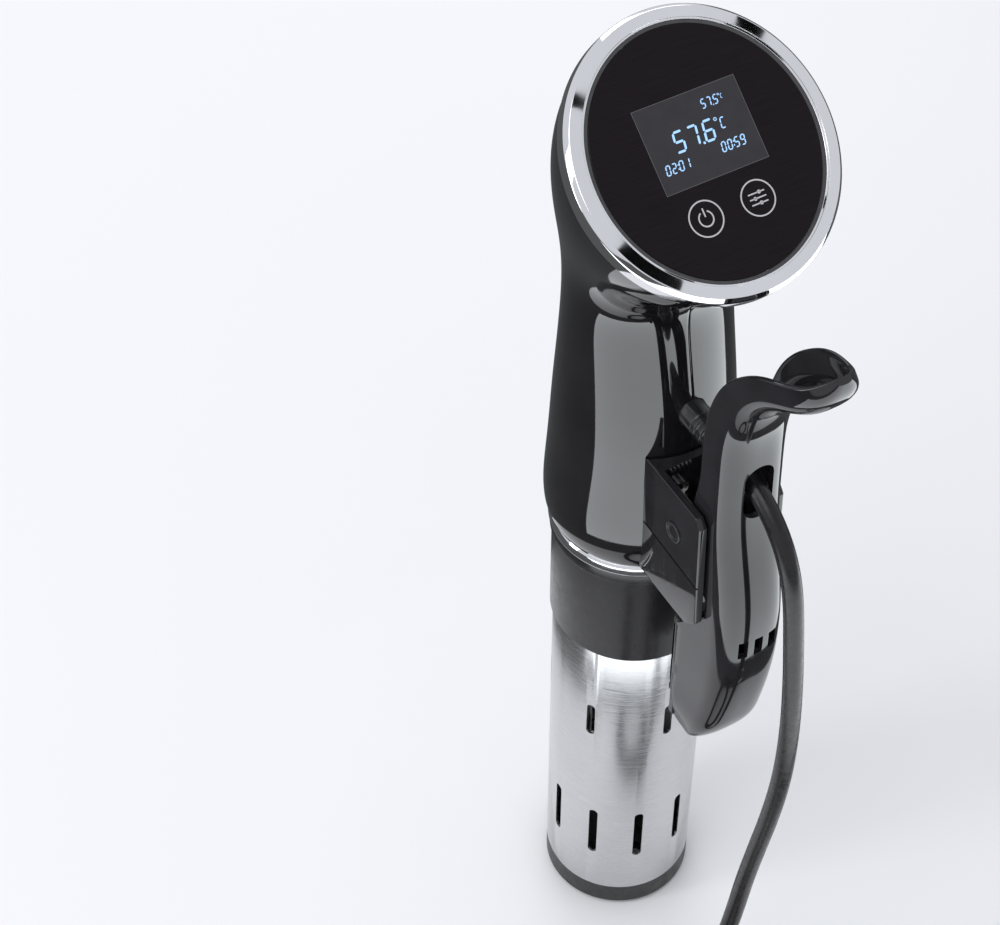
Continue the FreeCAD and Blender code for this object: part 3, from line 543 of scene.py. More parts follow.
def brushed(name, base, roughness=0.26, stretch=(1.0, 1.0, 60.0)):
    """Brushed or turned metal: fine lines across the stretched axis."""
    made = Finish(name, base, metallic=1.0, roughness=roughness)
    lines = made.noise(90.0, 6.0, stretch, 0.65)
    made.vary(lines, 0.1)
    made.rough(lines, roughness - 0.07, roughness + 0.1, 0.3, 0.75)
    made.bump(lines, 0.25, 0.02)
    return made.material


def black_glass(colours):
    """Black printed glass with hair-fine lines across it and a low-glare face."""
    made = Finish("black_glass", colours.glass, roughness=0.07, IOR=1.5,
                  Specular_IOR_Level=LOW_GLARE)
    lines = made.noise(1.0, 2.0, (6.0, 900.0, 1.0), 0.6, uv=True)
    made.vary(lines, 0.35, 0.35, 0.65)
    made.rough(made.noise(3.0, 4.0, uv=True), 0.05, 0.10)
    return made.material


def lit(name, base, glow, strength):
    """A lit surface behind the glass."""
    made = Finish(name, base, roughness=0.09, Specular_IOR_Level=LOW_GLARE,
                  Emission_Strength=strength)
    dim = tuple(c * 0.9 for c in glow)
    made.tree.links.new(made.ramp(made.noise(160.0), dim, tuple(glow)),
                        made.shader.inputs["Emission Color"])
    made.vary(made.noise(200.0), 0.08)
    return made.material


def printed_line():
    """Pale grey print on the glass."""
    made = Finish("printed_line", (0.46, 0.45, 0.47), roughness=0.3,
                  Emission_Color=(0.6, 0.6, 0.63, 1.0), Emission_Strength=0.12)
    made.vary(made.noise(500.0), 0.08)
    return made.material


def cord_sheath(colours):
    """Satin sheath with a fine skin."""
    made = Finish("cord_sheath", colours.cord, roughness=0.3, IOR=1.5,
                  Specular_IOR_Level=0.38)
    made.vary(made.noise(150.0), 0.2)
    made.rough(made.noise(420.0, 4.0), 0.22, 0.36)
    made.bump(made.noise(900.0, 3.0), 0.3, 0.02)
    return made.material


def solder_mask():
    """Circuit board with a fine weave under the green mask."""
    made = Finish("solder_mask", (0.03, 0.17, 0.07), roughness=0.3, Coat_Weight=0.4)
    weave = made.node("ShaderNodeTexChecker", Vector=made.place(), Scale=900.0)
    made.vary(made.noise(300.0), 0.2)
    made.bump(weave.outputs["Fac"], 0.3, 0.02)
    return made.material


RECIPES = {
    "black_shell": gloss_shell,
    "black_gloss_trim": gloss_clamp,
    "matte_black": lambda c: grained_plastic("grained_black", (0.022, 0.022, 0.024)),
    "chrome_trim": lambda c: polished("chrome", c.chrome, 0.045),
    "display_black": black_glass,
    "lcd": lambda c: lit("display_panel", c.panel, c.panel, 0.25),
    "digits": lambda c: lit("lit_digits", (0.2, 0.3, 0.4), c.digits, 0.95),
    "print": lambda c: printed_line(),
    "steel": lambda c: brushed("brushed_steel", c.steel, 0.24),
    "steel_bright": lambda c: brushed("turned_steel", (0.7, 0.7, 0.71), 0.18,
                                      (30.0, 1.0, 1.0)),
    "zinc": lambda c: polished("zinc_plate", (0.58, 0.58, 0.56), 0.2),
    "bronze": lambda c: brushed("sintered_bronze", (0.6, 0.42, 0.22), 0.35,
                                (1.0, 1.0, 1.0)),
    "rubber_black": lambda c: rubber("black_rubber", (0.018, 0.018, 0.019), 0.5),
    "rubber_grey": lambda c: rubber("grey_rubber", (0.05, 0.05, 0.052), 0.5),
    "cord_black": cord_sheath,
    "board_green": lambda c: solder_mask(),
    "component": lambda c: grained_plastic("moulded_part", (0.05, 0.05, 0.06), 0.5),
    "component_blue": lambda c: grained_plastic("blue_part", (0.05, 0.12, 0.35), 0.45),
    "component_green": lambda c: grained_plastic("green_part", (0.05, 0.3, 0.12), 0.45),
    "motor_steel": lambda c: brushed("plated_can", (0.45, 0.46, 0.48), 0.3),
    "fan_white": lambda c: grained_plastic("fan_plastic", (0.7, 0.7, 0.68), 0.4),
    "copper": lambda c: brushed("copper_spring", (0.75, 0.42, 0.26), 0.25),
    "strain_relief": lambda c: grained_plastic("relief_plastic", (0.015, 0.015, 0.017),
                                               0.2, 900.0, 0.01),
    "satin_black": lambda c: grained_plastic("satin_black", (0.012, 0.011, 0.013),
                                             0.24, 700.0, 0.01, 0.35),
    "black_oxide": lambda c: polished("black_oxide", (0.03, 0.03, 0.032), 0.25),
    "tie": lambda c: rubber("tie_strap", (0.03, 0.03, 0.032), 0.65),
    "panel_edge": lambda c: lit("panel_edge", (0.08, 0.08, 0.085), (0.11, 0.11, 0.115), 0.4),
}


# --- studio -----------------------------------------------------------------------------

CAMERA_PLACE = (-0.3027, -0.3970, 0.6042)
CAMERA_AZIMUTH = math.radians(-30.0)
CAMERA_ELEVATION = math.radians(48.0)
FLOOR_HALF = 3000.0
# Name, place, what it faces, width and height in metres, and share of the key's power.
SOFTBOXES = (
    ("key", (-0.75, -0.15, 1.25), (0.0, 0.02, 0.0), 0.9, 0.9, 1.0),
    ("side", (-1.1, 0.3, 0.35), (0.0, 0.03, 0.0), 0.25, 1.0, 0.6),
    ("rim", (0.5, 1.1, 0.7), (0.0, 0.03, 0.05), 0.9, 0.5, 0.8),
)
CARD_BLACK = (0.004, 0.004, 0.004)
CARD_WHITE = (0.93, 0.97, 1.0, 1.0)
FLOOR_GLOW = 0.10
# Where round the face the bezel mirrors a black card, in degrees.
BEZEL_FLAGS = (("low", 202.0, 231.0), ("high", 37.0, 50.0), ("left", 139.0, 145.0))
# The bezel's slopes that mirror it in degrees, where they lie, and how far off it stands.
GLINT_LEAN = (5.0, 13.0)
GLINT_RADIUS = 37.5
GLINT_AWAY = 0.8


def softbox(name, place, target, wide, tall, power):
    """A rectangular light at place that faces target, both in metres."""
    lamp = bpy.data.lights.new(name, "AREA")
    lamp.shape = "RECTANGLE"
    lamp.size, lamp.size_y = wide, tall
    lamp.energy = power
    obj = bpy.data.objects.new(name, lamp)
    obj.location = place
    way = Vector(target) - Vector(place)
    obj.rotation_euler = way.to_track_quat("-Z", "Y").to_euler()
    obj.visible_camera = False
    bpy.context.scene.collection.objects.link(obj)


def card(name, corners, strength):
    """A flat card that only reflections see: bright with a strength, black without one."""
    mesh = bpy.data.meshes.new(name)
    mesh.from_pydata([tuple(corner) for corner in corners], [], [tuple(range(len(corners)))])
    face = Finish(name, CARD_BLACK, roughness=0.5, Specular_IOR_Level=0.0,
                  Emission_Color=CARD_WHITE, Emission_Strength=strength)
    mesh.materials.append(face.material)
    obj = bpy.data.objects.new(name, mesh)
    obj.visible_camera = obj.visible_diffuse = obj.visible_shadow = False
    obj.visible_transmission = obj.visible_volume_scatter = False
    bpy.context.scene.collection.objects.link(obj)


def sector(inner, outer, start, end, above, steps=40):
    """Corners of part of a level ring round the tube's foot, in metres and degrees."""
    middle = TUBE_AXIS * MM + Z * (FLOOR * MM + above)
    ways = [round_about(math.radians(start + (end - start) * k / steps))
            for k in range(steps + 1)]
    near = [middle + inner * way for way in ways]
    return near + [middle + outer * way for way in reversed(ways)]


def bezel_glint(eye, start, end):
    """Corners of what the bezel mirrors to eye between two angles round the face."""
    gentle, steep = GLINT_LEAN
    corners = []
    for angle, slope in ((start, gentle), (end, gentle), (end, steep), (start, steep)):
        turn, tip = math.radians(angle), math.radians(slope)
        radial = X * math.cos(turn) + FACE_UP * math.sin(turn)
        spot = (FACE_MIDDLE + radial * GLINT_RADIUS) * MM
        normal = FACE_OUT * math.cos(tip) + radial * math.sin(tip)
        corners.append(spot + GLINT_AWAY * (spot - eye).normalized().reflect(normal))
    return corners


class CIRCULATOR_OT_studio(Operator):
    """Floor, surround, softboxes, reflection cards and the camera"""
    bl_idname = "circulator.studio"
    bl_label = "Studio"

    def execute(self, context):
        setting = context.scene.circulator_studio
        optics = bpy.data.cameras.new("camera")
        optics.lens = setting.lens
        optics.sensor_width = 36.0
        optics.clip_start, optics.clip_end = 0.05, 30.0
        camera = bpy.data.objects.new("camera", optics)
        context.scene.collection.objects.link(camera)
        right = round_about(CAMERA_AZIMUTH)
        level = math.cos(CAMERA_ELEVATION)
        back = Vector((right.y * level, -right.x * level, math.sin(CAMERA_ELEVATION)))
        turn = Matrix((right, back.cross(right), back)).transposed().to_4x4()
        camera.matrix_world = Matrix.Translation(CAMERA_PLACE) @ turn
        context.scene.camera = camera
        context.scene.view_settings.view_transform = "Standard"

        world = bpy.data.worlds.new("surround")
        world.use_nodes = True
        sky = world.node_tree.nodes["Background"]
        sky.inputs["Color"].default_value = (0.93, 0.95, 1.0, 1.0)
        sky.inputs["Strength"].default_value = setting.surround
        context.scene.world = world

        corners = rectangle(-FLOOR_HALF, FLOOR_HALF, -FLOOR_HALF, FLOOR_HALF)
        floor = piece("floor", [(x, y, FLOOR) for x, y in corners], [(0, 1, 2, 3)])
        paper = Finish("paper_floor", (0.86, 0.86, 0.87), roughness=0.75,
                       Specular_IOR_Level=0.2)
        paper.vary(paper.noise(2.0), 0.012)
        paper.bump(paper.noise(300.0), 0.05, 0.1)
        floor.data.materials.append(paper.material)

        for name, place, target, wide, tall, share in SOFTBOXES:
            softbox(name, place, target, wide, tall, setting.key * share)
        card("flag_floor", sector(0.15, 2.5, -360.0, 0.0, 0.0015, 90), FLOOR_GLOW)
        card("sweep_front", sector(0.20, 0.85, -176.0, -10.0, 0.003), setting.sweep)
        eye = camera.matrix_world.translation
        for name, start, end in BEZEL_FLAGS:
            card("flag_bezel_" + name, bezel_glint(eye, start, end), 0.0)
        return {"FINISHED"}


# --- cord -------------------------------------------------------------------------------

# The route from the strain relief down to the coil, in metres, as in the part's source.
CORD_ROUTE = (
    (0.0, -0.0080, 0.0640), (0.0, -0.0180, 0.0637), (0.0, -0.0274, 0.0602),
    (0.0, -0.0352, 0.0540), (0.0, -0.0406, 0.0456), (0.0, -0.0439, 0.0350),
    (0.0, -0.0462, 0.0204), (0.0, -0.0489, 0.0000), (0.0, -0.0504, -0.0220),
    (0.0, -0.0499, -0.0460), (0.0, -0.0468, -0.0710), (0.0, -0.0422, -0.0970),
    (0.0, -0.0384, -0.1200), (-0.0006, -0.0364, -0.1400), (-0.0042, -0.0362, -0.1600),
    (-0.0130, -0.0369, -0.1782), (-0.0280, -0.0376, -0.1914), (-0.0460, -0.0380, -0.19685),
)
TAIL_ROUTE = (
    (-0.0430, -0.1144, -0.1898), (-0.0320, -0.1147, -0.1870),
    (-0.0220, -0.1149, -0.1836), (-0.0120, -0.1149, -0.1820),
)
COIL_MIDDLE = Vector((-0.0510, -0.0762, 0.0))
# Degrees round the coil, anticlockwise, where its lane or layer changes: from, to, how.
LANE_MOVES = ((250.0, 360.0, -1.0), (860.0, 990.0, 1.0))
LAYER_MOVE = (560.0, 680.0)
COIL_START = 90.0
COIL_SWEEP = 1260.0
COIL_RADIUS = 0.035
# The tie: where round the coil, wall, inner and outer radius from the middle, and height.
TIE_ANGLE = math.radians(195.0)
TIE_WALL = 0.45
TIE_INNER, TIE_OUTER, TIE_TALL = 28.2, 41.7, 13.25
PLUG_END = Vector((-12.0, -114.9, -182.0))


def eased(value, start, end):
    """0 before start, 1 after end, and smooth between."""
    t = min(1.0, max(0.0, (value - start) / (end - start)))
    return t * t * (3 - 2 * t)


def coil_points(radius, turn_points):
    """Control points of the put-away coil: two lanes side by side in two layers."""
    outer, pitch = COIL_RADIUS + 1.015 * radius, 2.03 * radius
    points = []
    step = 360.0 / turn_points
    for k in range(1, int(COIL_SWEEP / step)):
        run = k * step
        lane = 1.0 + sum(way * eased(run, a, b) for a, b, way in LANE_MOVES)
        layer = eased(run, *LAYER_MOVE)
        out = outer - (1.0 - lane) * pitch
        angle = math.radians(COIL_START + run)
        points.append((COIL_MIDDLE.x + out * math.cos(angle),
                       COIL_MIDDLE.y + out * math.sin(angle),
                       FLOOR * MM + radius * (1.0 + 2.02 * layer)))
    return points


def ribs(count, first, pitch, tall, slope, groove, crest, rounding):
    """Corners of ribs along a boot; groove and crest give a radius and how it grows."""
    out = []
    for rib in range(count):
        low = first + pitch * rib
        valley = groove[0] + groove[1] * rib
        top = crest[0] + crest[1] * rib
        out += [(valley, low), (top, low + slope, rounding),
                (top, low + tall - slope, rounding), (valley + 0.1, low + tall)]
    return out


def tie_rings():
    """Sections along the coil's tie: out at its rounded rims and back along its inside."""
    middle = COIL_MIDDLE / MM
    out = round_about(TIE_ANGLE)
    along = round_about(TIE_ANGLE + math.pi / 2)
    outline = soften(rectangle(TIE_INNER, TIE_OUTER, FLOOR, FLOOR + TIE_TALL), 3.2, 6)
    inner = inset_outline(outline, TIE_WALL)
    levels = [(half, inset_outline(outline, inset))
              for half, inset in ((-4.5, 0.14), (-4.3, 0.0), (4.3, 0.0), (4.5, 0.14))]
    levels += [(4.5, inner), (-4.5, inner)]
    return [[middle + out * r + along * half + Z * h for r, h in ring]
            for half, ring in levels]


class CIRCULATOR_OT_cord(Operator):
    """Mains cord in one spline: the hanging run, the put-away coil and the plug's tail"""
    bl_idname = "circulator.cord"
    bl_label = "Cord, coil tie and strain relief"

    def execute(self, context):
        setting = context.scene.circulator_cord
        radius = setting.diameter / 2
        data = bpy.data.curves.new("mains_cord", "CURVE")
        data.dimensions = "3D"
        data.resolution_u = 8
        data.bevel_depth = radius
        data.bevel_resolution = 6
        data.use_fill_caps = True
        spline = data.splines.new("NURBS")
        route = [*CORD_ROUTE, *coil_points(radius, setting.turn_points), *TAIL_ROUTE]
        spline.points.add(len(route) - 1)
        for point, place in zip(spline.points, route):
            point.co = (*place, 1.0)
        spline.order_u = 3
        spline.use_endpoint_u = True
        cord = bpy.data.objects.new("mains_cord", data)
        context.scene.collection.objects.link(cord)
        keep(cord, "cord_black", "housing", "cord_black", "cord", "cord_coil", "cord_tail")

        outline = [(3.2, 0.0), (3.6, 0.0),
                   *ribs(5, 1.6, 3.0, 1.85, 0.15, (3.65, 0.18), (4.3, 0.108), 0.4),
                   (4.75, 16.0, 0.5), (4.75, 26.0), (6.5, 26.0), (6.5, 29.0), (3.2, 29.0)]
        exit_place = Vector(CORD_ROUTE[0]) / MM
        boot = lathe("strain_relief_boot", soften(outline, 0.18, 3), exit_place, Y, Z, 64)
        keep(boot, "strain_relief", "housing", "rubber_black", "strain_relief")
        tie = loft("cord_tie", tie_rings(), 40.0, closed_way=True)
        keep(tie, "tie", "housing", "rubber_black")
        return {"FINISHED"}


class CIRCULATOR_OT_plug(Operator):
    """Round two-pin plug with a ribbed boot, a finger grip and side grooves"""
    bl_idname = "circulator.plug"
    bl_label = "Plug"

    def execute(self, context):
        outline = [(3.2, 0.0), (3.9, 0.0),
                   *ribs(4, 1.4, 2.6, 1.5, 0.1, (4.0, 0.35), (4.5, 0.38), 0.3),
                   (5.75, 12.2), (11.7, 15.8, 2.0), (13.2, 26.0, 2.5), (17.8, 29.2, 1.2),
                   (18.0, 35.0, 0.6), (17.3, 36.0, 0.4), (14.6, 36.0), (14.2, 35.2),
                   (0.0, 35.2), (0.0, 0.4)]
        body = lathe("plug_body", soften(outline, 0.25, 3), PLUG_END, X, Z, 96)
        cutters = []
        for side in (-1, 1):
            for k in range(5):
                at = PLUG_END + Vector((17.6 + 1.9 * k, 0.0, side * 11.9))
                reach = Vector((0.5, 6.0, 0.9))
                cutters.append(block(at - reach, at + reach))
            at = PLUG_END + Vector((32.8, 0.0, side * 17.2))
            reach = Vector((4.2, 2.6, 1.6))
            cutters.append(block(at - reach, at + reach))
        combine(body, cutters)
        keep(body, "matte_black", "housing", "matte_black", "plug")

        pin = soften([(0.0, -0.9, 0), (2.4, -0.9), (2.4, 17.6, 1.6), (0.9, 19.0, 0.3),
                      (0.0, 19.0, 0)], 0.05, 5)
        pins = [lathe("plug_pin", pin, PLUG_END + Vector((36.05, side * 9.5, 0.0)), X, Z, 48)
                for side in (-1, 1)]
        both = combine(pins[0], [pins[1]], "UNION")
        both.name = "plug_contacts"
        keep(both, "steel_bright", "housing", "steel_bright", "plug_pins")
        return {"FINISHED"}


# --- housing ----------------------------------------------------------------------------

# Middle (Y, Z), tilt, half width and half depth of the housing, from its foot to the face.
HOUSING_STATIONS = (
    (39.0, -0.95, 0.0, 28.3, 28.0), (39.0, 2.5, 0.0, 29.7, 28.5),
    (39.0, 8.0, 0.0, 30.7, 29.0), (39.0, 14.0, 0.0, 30.9, 29.0),
    (39.0, 24.0, 0.0, 30.3, 28.8), (39.0, 36.0, 0.0, 29.4, 28.5),
    (39.1, 50.0, 0.0, 28.6, 28.0), (39.5, 66.0, 1.0, 27.7, 26.3),
    (40.3, 86.0, 3.0, 26.8, 23.3), (39.8, 107.0, 10.0, 27.5, 22.1),
    (35.0, 126.0, 24.0, 32.0, 27.9), (26.32, 149.62, 37.0, 37.9, 39.4),
    (20.41, 157.81, 37.0, 38.8, 40.6),
)
# Steps along a half shell's outline, from back to front.
SHELL_STEPS = 84
# How far a half shell stays from the middle plane.
SEAM_GAP = 0.03
# Height back and up of the two holes in the right shell.
SHELL_SCREWS = ((57.0, 63.0), (53.0, 94.0))
# Each row of slots in the sleeve: how many, middle height, slot height, first angle.
SLEEVE_SLOTS = ((10, -155.0, 26.0, 0.0), (6, -89.0, 16.0, 30.0))
SLOT_WIDE = 3.2


def shell_ring(row, side, wall, seam):
    """One closed ring of a half shell: round the outside and back along the inside."""
    y, z, tilt, half_x, half_s = row
    tilt = math.radians(tilt)
    up = Vector((0.0, math.cos(tilt), math.sin(tilt)))
    middle = Vector((0.0, y, z))
    quarter = math.pi / 2
    edge = math.asin(min(1.0, seam / half_x))
    angles = [-quarter, -quarter + edge * 0.45, -quarter + edge * 1.1]
    angles += [-quarter + math.pi * k / SHELL_STEPS for k in range(1, SHELL_STEPS)]
    angles += [quarter - edge * 1.1, quarter - edge * 0.45, quarter]
    insets = [seam, seam * 0.35] + [0.0] * (len(angles) - 4) + [seam * 0.35, seam]
    way = list(zip(angles, insets)) + [(angle, wall) for angle in reversed(angles)]
    ring = []
    for angle, inset in way:
        x = max((half_x - inset) * math.cos(angle), SEAM_GAP)
        ring.append(middle + X * side * x + up * (half_s - inset) * math.sin(angle))
    return ring


class CIRCULATOR_OT_housing(Operator):
    """Left and right glossy half shells with their parting line, vents and screw holes"""
    bl_idname = "circulator.housing"
    bl_label = "Housing"

    def execute(self, context):
        size = millimetres(context.scene.circulator_housing)
        rows = smooth_rows(HOUSING_STATIONS, 1.7)
        for side, name in ((-1, "left"), (1, "right")):
            rings = [shell_ring(row, side, size.wall, size.seam) for row in rows]
            half = loft("housing_" + name, rings)
            cutters = [rod(Vector((0.0, 4.0, 64.0)), 4.9, 0.0, 20.0, Y, Z)]
            for step in range(4):
                at = Vector((side * 9.0, 51.0, 29.0 + 6.0 * step))
                cutters.append(slab("cutter", capsule(9.0, 2.2), 0.0, 20.0, X, Z, Y, at))
            if side > 0:
                cutters += [rod(Vector((11.85, y, z)), 3.0, 0.0, 16.0, X, Y)
                            for y, z in SHELL_SCREWS]
            combine(half, cutters)
            keep(half, "black_shell", "housing", "black_shell", "shell_" + name)
        return {"FINISHED"}


class CIRCULATOR_OT_tube(Operator):
    """Chrome trim ring, collar and slotted steel sleeve"""
    bl_idname = "circulator.tube"
    bl_label = "Trim ring, collar and steel sleeve"

    def execute(self, context):
        size = millimetres(context.scene.circulator_housing)
        proud, radius = size.trim_radius, size.tube_radius
        ring = [(radius - 0.1, -6.0, 0), (proud - 0.5, -6.0, 0.5), (proud, -4.9, 0.8),
                (proud, -2.1, 0.8), (proud - 0.6, -1.0, 0.5), (radius - 0.1, -1.0, 0)]
        keep(lathe("trim_band", soften(ring, 0.3, 5), segments=192),
             "chrome_trim", "housing", "chrome_trim", "trim_ring")
        collar = [(radius + 0.05, -51.0, 0.1), (26.9, -51.0, 0.3), (27.4, -50.4, 0.4),
                  (27.4, -10.6, 0.5), (28.1, -10.0, 0.4), (28.1, -6.05, 0.1),
                  (26.2, -6.05, 0), (26.2, 2.5, 0), (23.8, 2.5, 0), (23.8, -43.0, 0),
                  (radius + 0.05, -43.0, 0)]
        keep(lathe("collar_skirt", soften(collar, 0.2, 4), segments=160),
             "satin_black", "housing", "black_gloss_trim", "collar")
        wall = soften(rectangle(radius - 0.8, radius, -189.0, -44.6), 0.15, 2)
        sleeve = lathe("steel_tube", wall, segments=160)
        cutters = []
        for count, height, tall, start in SLEEVE_SLOTS:
            for k in range(count):
                out = round_about(math.radians(start + 360.0 * k / count))
                at = TUBE_AXIS + out * (radius - 3.0) + Z * height
                cutters.append(slab("cutter", capsule(SLOT_WIDE, tall), 0.0, 6.0,
                                    Z.cross(out), Z, out, at))
        combine(sleeve, cutters)
        keep(sleeve, "steel", "housing", "steel", "steel_sleeve")
        return {"FINISHED"}


# --- display ----------------------------------------------------------------------------

SEGMENTS = {
    "0": "abcdef", "1": "bc", "2": "abged", "3": "abgcd", "4": "fgbc", "5": "afgcd",
    "6": "afgedc", "7": "abc", "8": "abcdefg", "9": "abcdfg", "C": "afed",
}
SLANT = math.tan(math.radians(9.0))
BEZEL_STEPS = 240
# The lit panel: size, how far its middle lies up the face, its front and its edge line.
PANEL_WIDE, PANEL_TALL, PANEL_UP = 32.6, 24.4, 4.6
PANEL_FACE = 2.63
PANEL_LINE = 0.15
# Text, place across and down the panel, height, bar width and spread of each number, then
# its degree ring (place, radius, width) and letter (place, height, bar width).
LIT_NUMBERS = (
    ("57.6", 0.235, 0.61, DIGIT_HEIGHT, 0.6405, 1.1,
     ((0.75, 5.246, 0.52, 0.24), (1.45, 2.074, 3.172, 0.36))),
    ("57.5", 0.61, 0.245, 2.75, 0.33, 1.0,
     ((0.35, 2.35, 0.32, 0.16), (0.7, 1.0, 1.35, 0.2))),
    ("00:59", 0.625, 0.775, 2.95, 0.34, 1.0, None),
    ("02:01", 0.075, 0.80, 2.95, 0.34, 1.0, None),
)


def segment_outline(key, wide, tall, thick):
    """One bar of a seven-bar digit whose lower left corner is the origin."""
    half = thick / 2
    gap = thick * 0.16
    middle = tall / 2
    if key in "adg":
        y = {"a": tall - half, "d": half, "g": middle}[key]
        low, high = half + gap, wide - half - gap
        shape = [(low, y), (low + half, y + half), (high - half, y + half), (high, y),
                 (high - half, y - half), (low + half, y - half)]
    else:
        x = half if key in "ef" else wide - half
        low, high = half + gap, middle - gap
        if key in "bf":
            low, high = middle + gap, tall - half - gap
        shape = [(x, low), (x + half, low + half), (x + half, high - half), (x, high),
                 (x - half, high - half), (x - half, low + half)]
    return [(px + py * SLANT, py) for px, py in shape]


def lit_number(text, left, low, tall, thick, spread=1.0):
    """Outlines of the bars of a number, with its point or colon, and where it ends."""
    wide = tall * 0.50 * spread
    shapes = []
    at = left
    for sign in text:
        if sign in ".:":
            for row in ((0.0,) if sign == "." else (tall * 0.24, tall * 0.62)):
                x = at - wide * 0.09 + row * SLANT
                shapes.append(rectangle(x, x + thick, low + row, low + row + thick))
            at += thick * 0.75
            continue
        for key in SEGMENTS[sign]:
            outline = segment_outline(key, wide, tall, thick)
            shapes.append([(at + px, low + py) for px, py in outline])
        at += wide * 1.32
    return shapes, at


def flat_group(name, shapes, low, high):
    """Flat outlines on the face as one thin piece."""
    points, faces = [], []
    for shape in shapes:
        if signed_area(shape) < 0:
            shape = shape[::-1]
        start, count = len(points), len(shape)
        points += [face_point(x, y, height) for height in (low, high) for x, y in shape]
        faces.append(tuple(range(start + count - 1, start - 1, -1)))
        faces.append(tuple(range(start + count, start + 2 * count)))
        for k in range(count):
            n = (k + 1) % count
            faces.append((start + k, start + n, start + count + n, start + count + k))
    return piece(name, points, faces, 30.0)


def ring_group(name, rings, low, high, count=72):
    """Rings and arcs on the face as one thin piece, built from short bars end to end."""
    points, faces = [], []
    for x, y, radius, thick, start, end in rings:
        whole = abs(end - start) >= 360.0
        total = count if whole else count + 1
        first = len(points)
        for k in range(total):
            a = math.radians(start + (end - start) * k / count)
            points += [face_point(x + r * math.cos(a), y + r * math.sin(a), h)
                       for r, h in ((radius, low), (radius, high), (radius - thick, high),
                                    (radius - thick, low))]
        for k in range(count):
            a = first + 4 * k
            b = first + 4 * ((k + 1) % total)
            for j in range(4):
                n = (j + 1) % 4
                faces.append((a + j, a + n, b + n, b + j))
        if not whole:
            faces.append(tuple(first + j for j in range(4)))
            faces.append(tuple(first + 4 * count + j for j in reversed(range(4))))
    return piece(name, points, faces, 30.0)


def build_bezel(size):
    """The bezel: its profile carried round the oval face."""
    ratio = (size.ring_half_s - size.glass_half_s) / (size.ring_half_x - size.glass_half_x)
    profile = soften([(0.0, -3.95, 0.2), (0.0, 0.9, 1.3), (1.3, 2.48, 0.55),
                      (4.75, 2.98, 0.15), (4.85, 2.74, 0.06), (5.45, 2.60, 0.2),
                      (5.50, 0.5, 0), (8.6, 0.5, 0), (8.6, -3.95, 0)], 0.2, 5)
    rings = []
    for k in range(BEZEL_STEPS):
        angle = 2 * math.pi * k / BEZEL_STEPS
        rings.append([face_point((size.ring_half_x - inward) * math.cos(angle),
                                 (size.ring_half_s - inward * ratio) * math.sin(angle), height)
                      for inward, height in profile])
    bezel = loft("display_bezel", rings, 50.0, closed_way=True)
    keep(bezel, "chrome_trim", "housing", "chrome_trim", "bezel")


def build_glass(size):
    """The glass, with coordinates across it for its fine lines."""
    outline = oval(size.glass_half_x, size.glass_half_s, 200)
    glass = on_face("display_window", outline, 0.6, 2.6, 0.25)
    layer = glass.data.uv_layers.new(name="face")
    for loop in glass.data.loops:
        at = glass.data.vertices[loop.vertex_index].co / MM - FACE_MIDDLE
        layer.data[loop.index].uv = (at.dot(X) / 80.0, at.dot(FACE_UP) / 80.0)
    keep(glass, "display_black", "housing", "display_black", "display_glass")


def build_panel():
    """The lit panel and the paler line round it."""
    outline = rectangle(-PANEL_WIDE / 2, PANEL_WIDE / 2,
                        PANEL_UP - PANEL_TALL / 2, PANEL_UP + PANEL_TALL / 2)
    panel = on_face("display_panel", soften(outline, 0.5), 2.58, PANEL_FACE)
    keep(panel, "lcd", "housing", "lcd")
    x, y = PANEL_WIDE / 2, PANEL_TALL / 2
    line = PANEL_LINE
    bars = [rectangle(-x, x, PANEL_UP + y - line, PANEL_UP + y),
            rectangle(-x, x, PANEL_UP - y, PANEL_UP - y + line),
            rectangle(-x, line - x, PANEL_UP - y + line, PANEL_UP + y - line),
            rectangle(x - line, x, PANEL_UP - y + line, PANEL_UP + y - line)]
    edge = flat_group("display_panel_edge", bars, PANEL_FACE, PANEL_FACE + 0.015)
    keep(edge, "panel_edge", "housing", "lcd")


def build_digits(grow):
    """The lit numbers and their degree signs, grown together by one factor."""
    shapes, rings = [], []
    for text, across, down, tall, thick, spread, sign in LIT_NUMBERS:
        x = (across - 0.5) * PANEL_WIDE
        y = PANEL_UP + (0.5 - down) * PANEL_TALL
        made, end = lit_number(text, x, y, tall * grow, thick * grow, spread)
        shapes += made
        if sign:
            ring, letter = (tuple(number * grow for number in part) for part in sign)
            rings.append((end + ring[0], y + ring[1], *ring[2:], 0.0, 360.0))
            shapes += lit_number("C", end + letter[0], y + letter[1], *letter[2:])[0]
    top = PANEL_FACE + 0.03
    digits = flat_group("display_digits", shapes, PANEL_FACE, top)
    keep(digits, "digits", "housing", "lcd")
    signs = ring_group("display_degree_signs", rings, PANEL_FACE, top)
    keep(signs, "digits", "housing", "lcd")


def build_touch_fields():
    """Two printed rings, a power sign in the left one and sliders in the right one."""
    left, right, down = -8.3, 8.3, -16.8
    low, high = 2.59, 2.63
    rings = [(left, down, 5.2, 0.42, 0.0, 360.0), (right, down, 5.2, 0.42, 0.0, 360.0),
             (left, down, 2.35, 0.42, 118.0, 422.0)]
    marks = ring_group("touch_field_rings", rings, low, high)
    keep(marks, "print", "housing", "display_black")
    bars = [rectangle(left - 0.21, left + 0.21, down + 0.5, down + 3.0)]
    for row, knob in ((1.5, 0.9), (0.0, -0.9), (-1.5, 0.4)):
        bars.append(rectangle(right - 2.6, right + 2.6, down + row - 0.19, down + row + 0.19))
        bars.append([(right + knob + x, down + row + y) for x, y in oval(0.55, 0.55, 16)])
    signs = flat_group("touch_field_signs", bars, low, high)
    keep(signs, "print", "housing", "display_black")


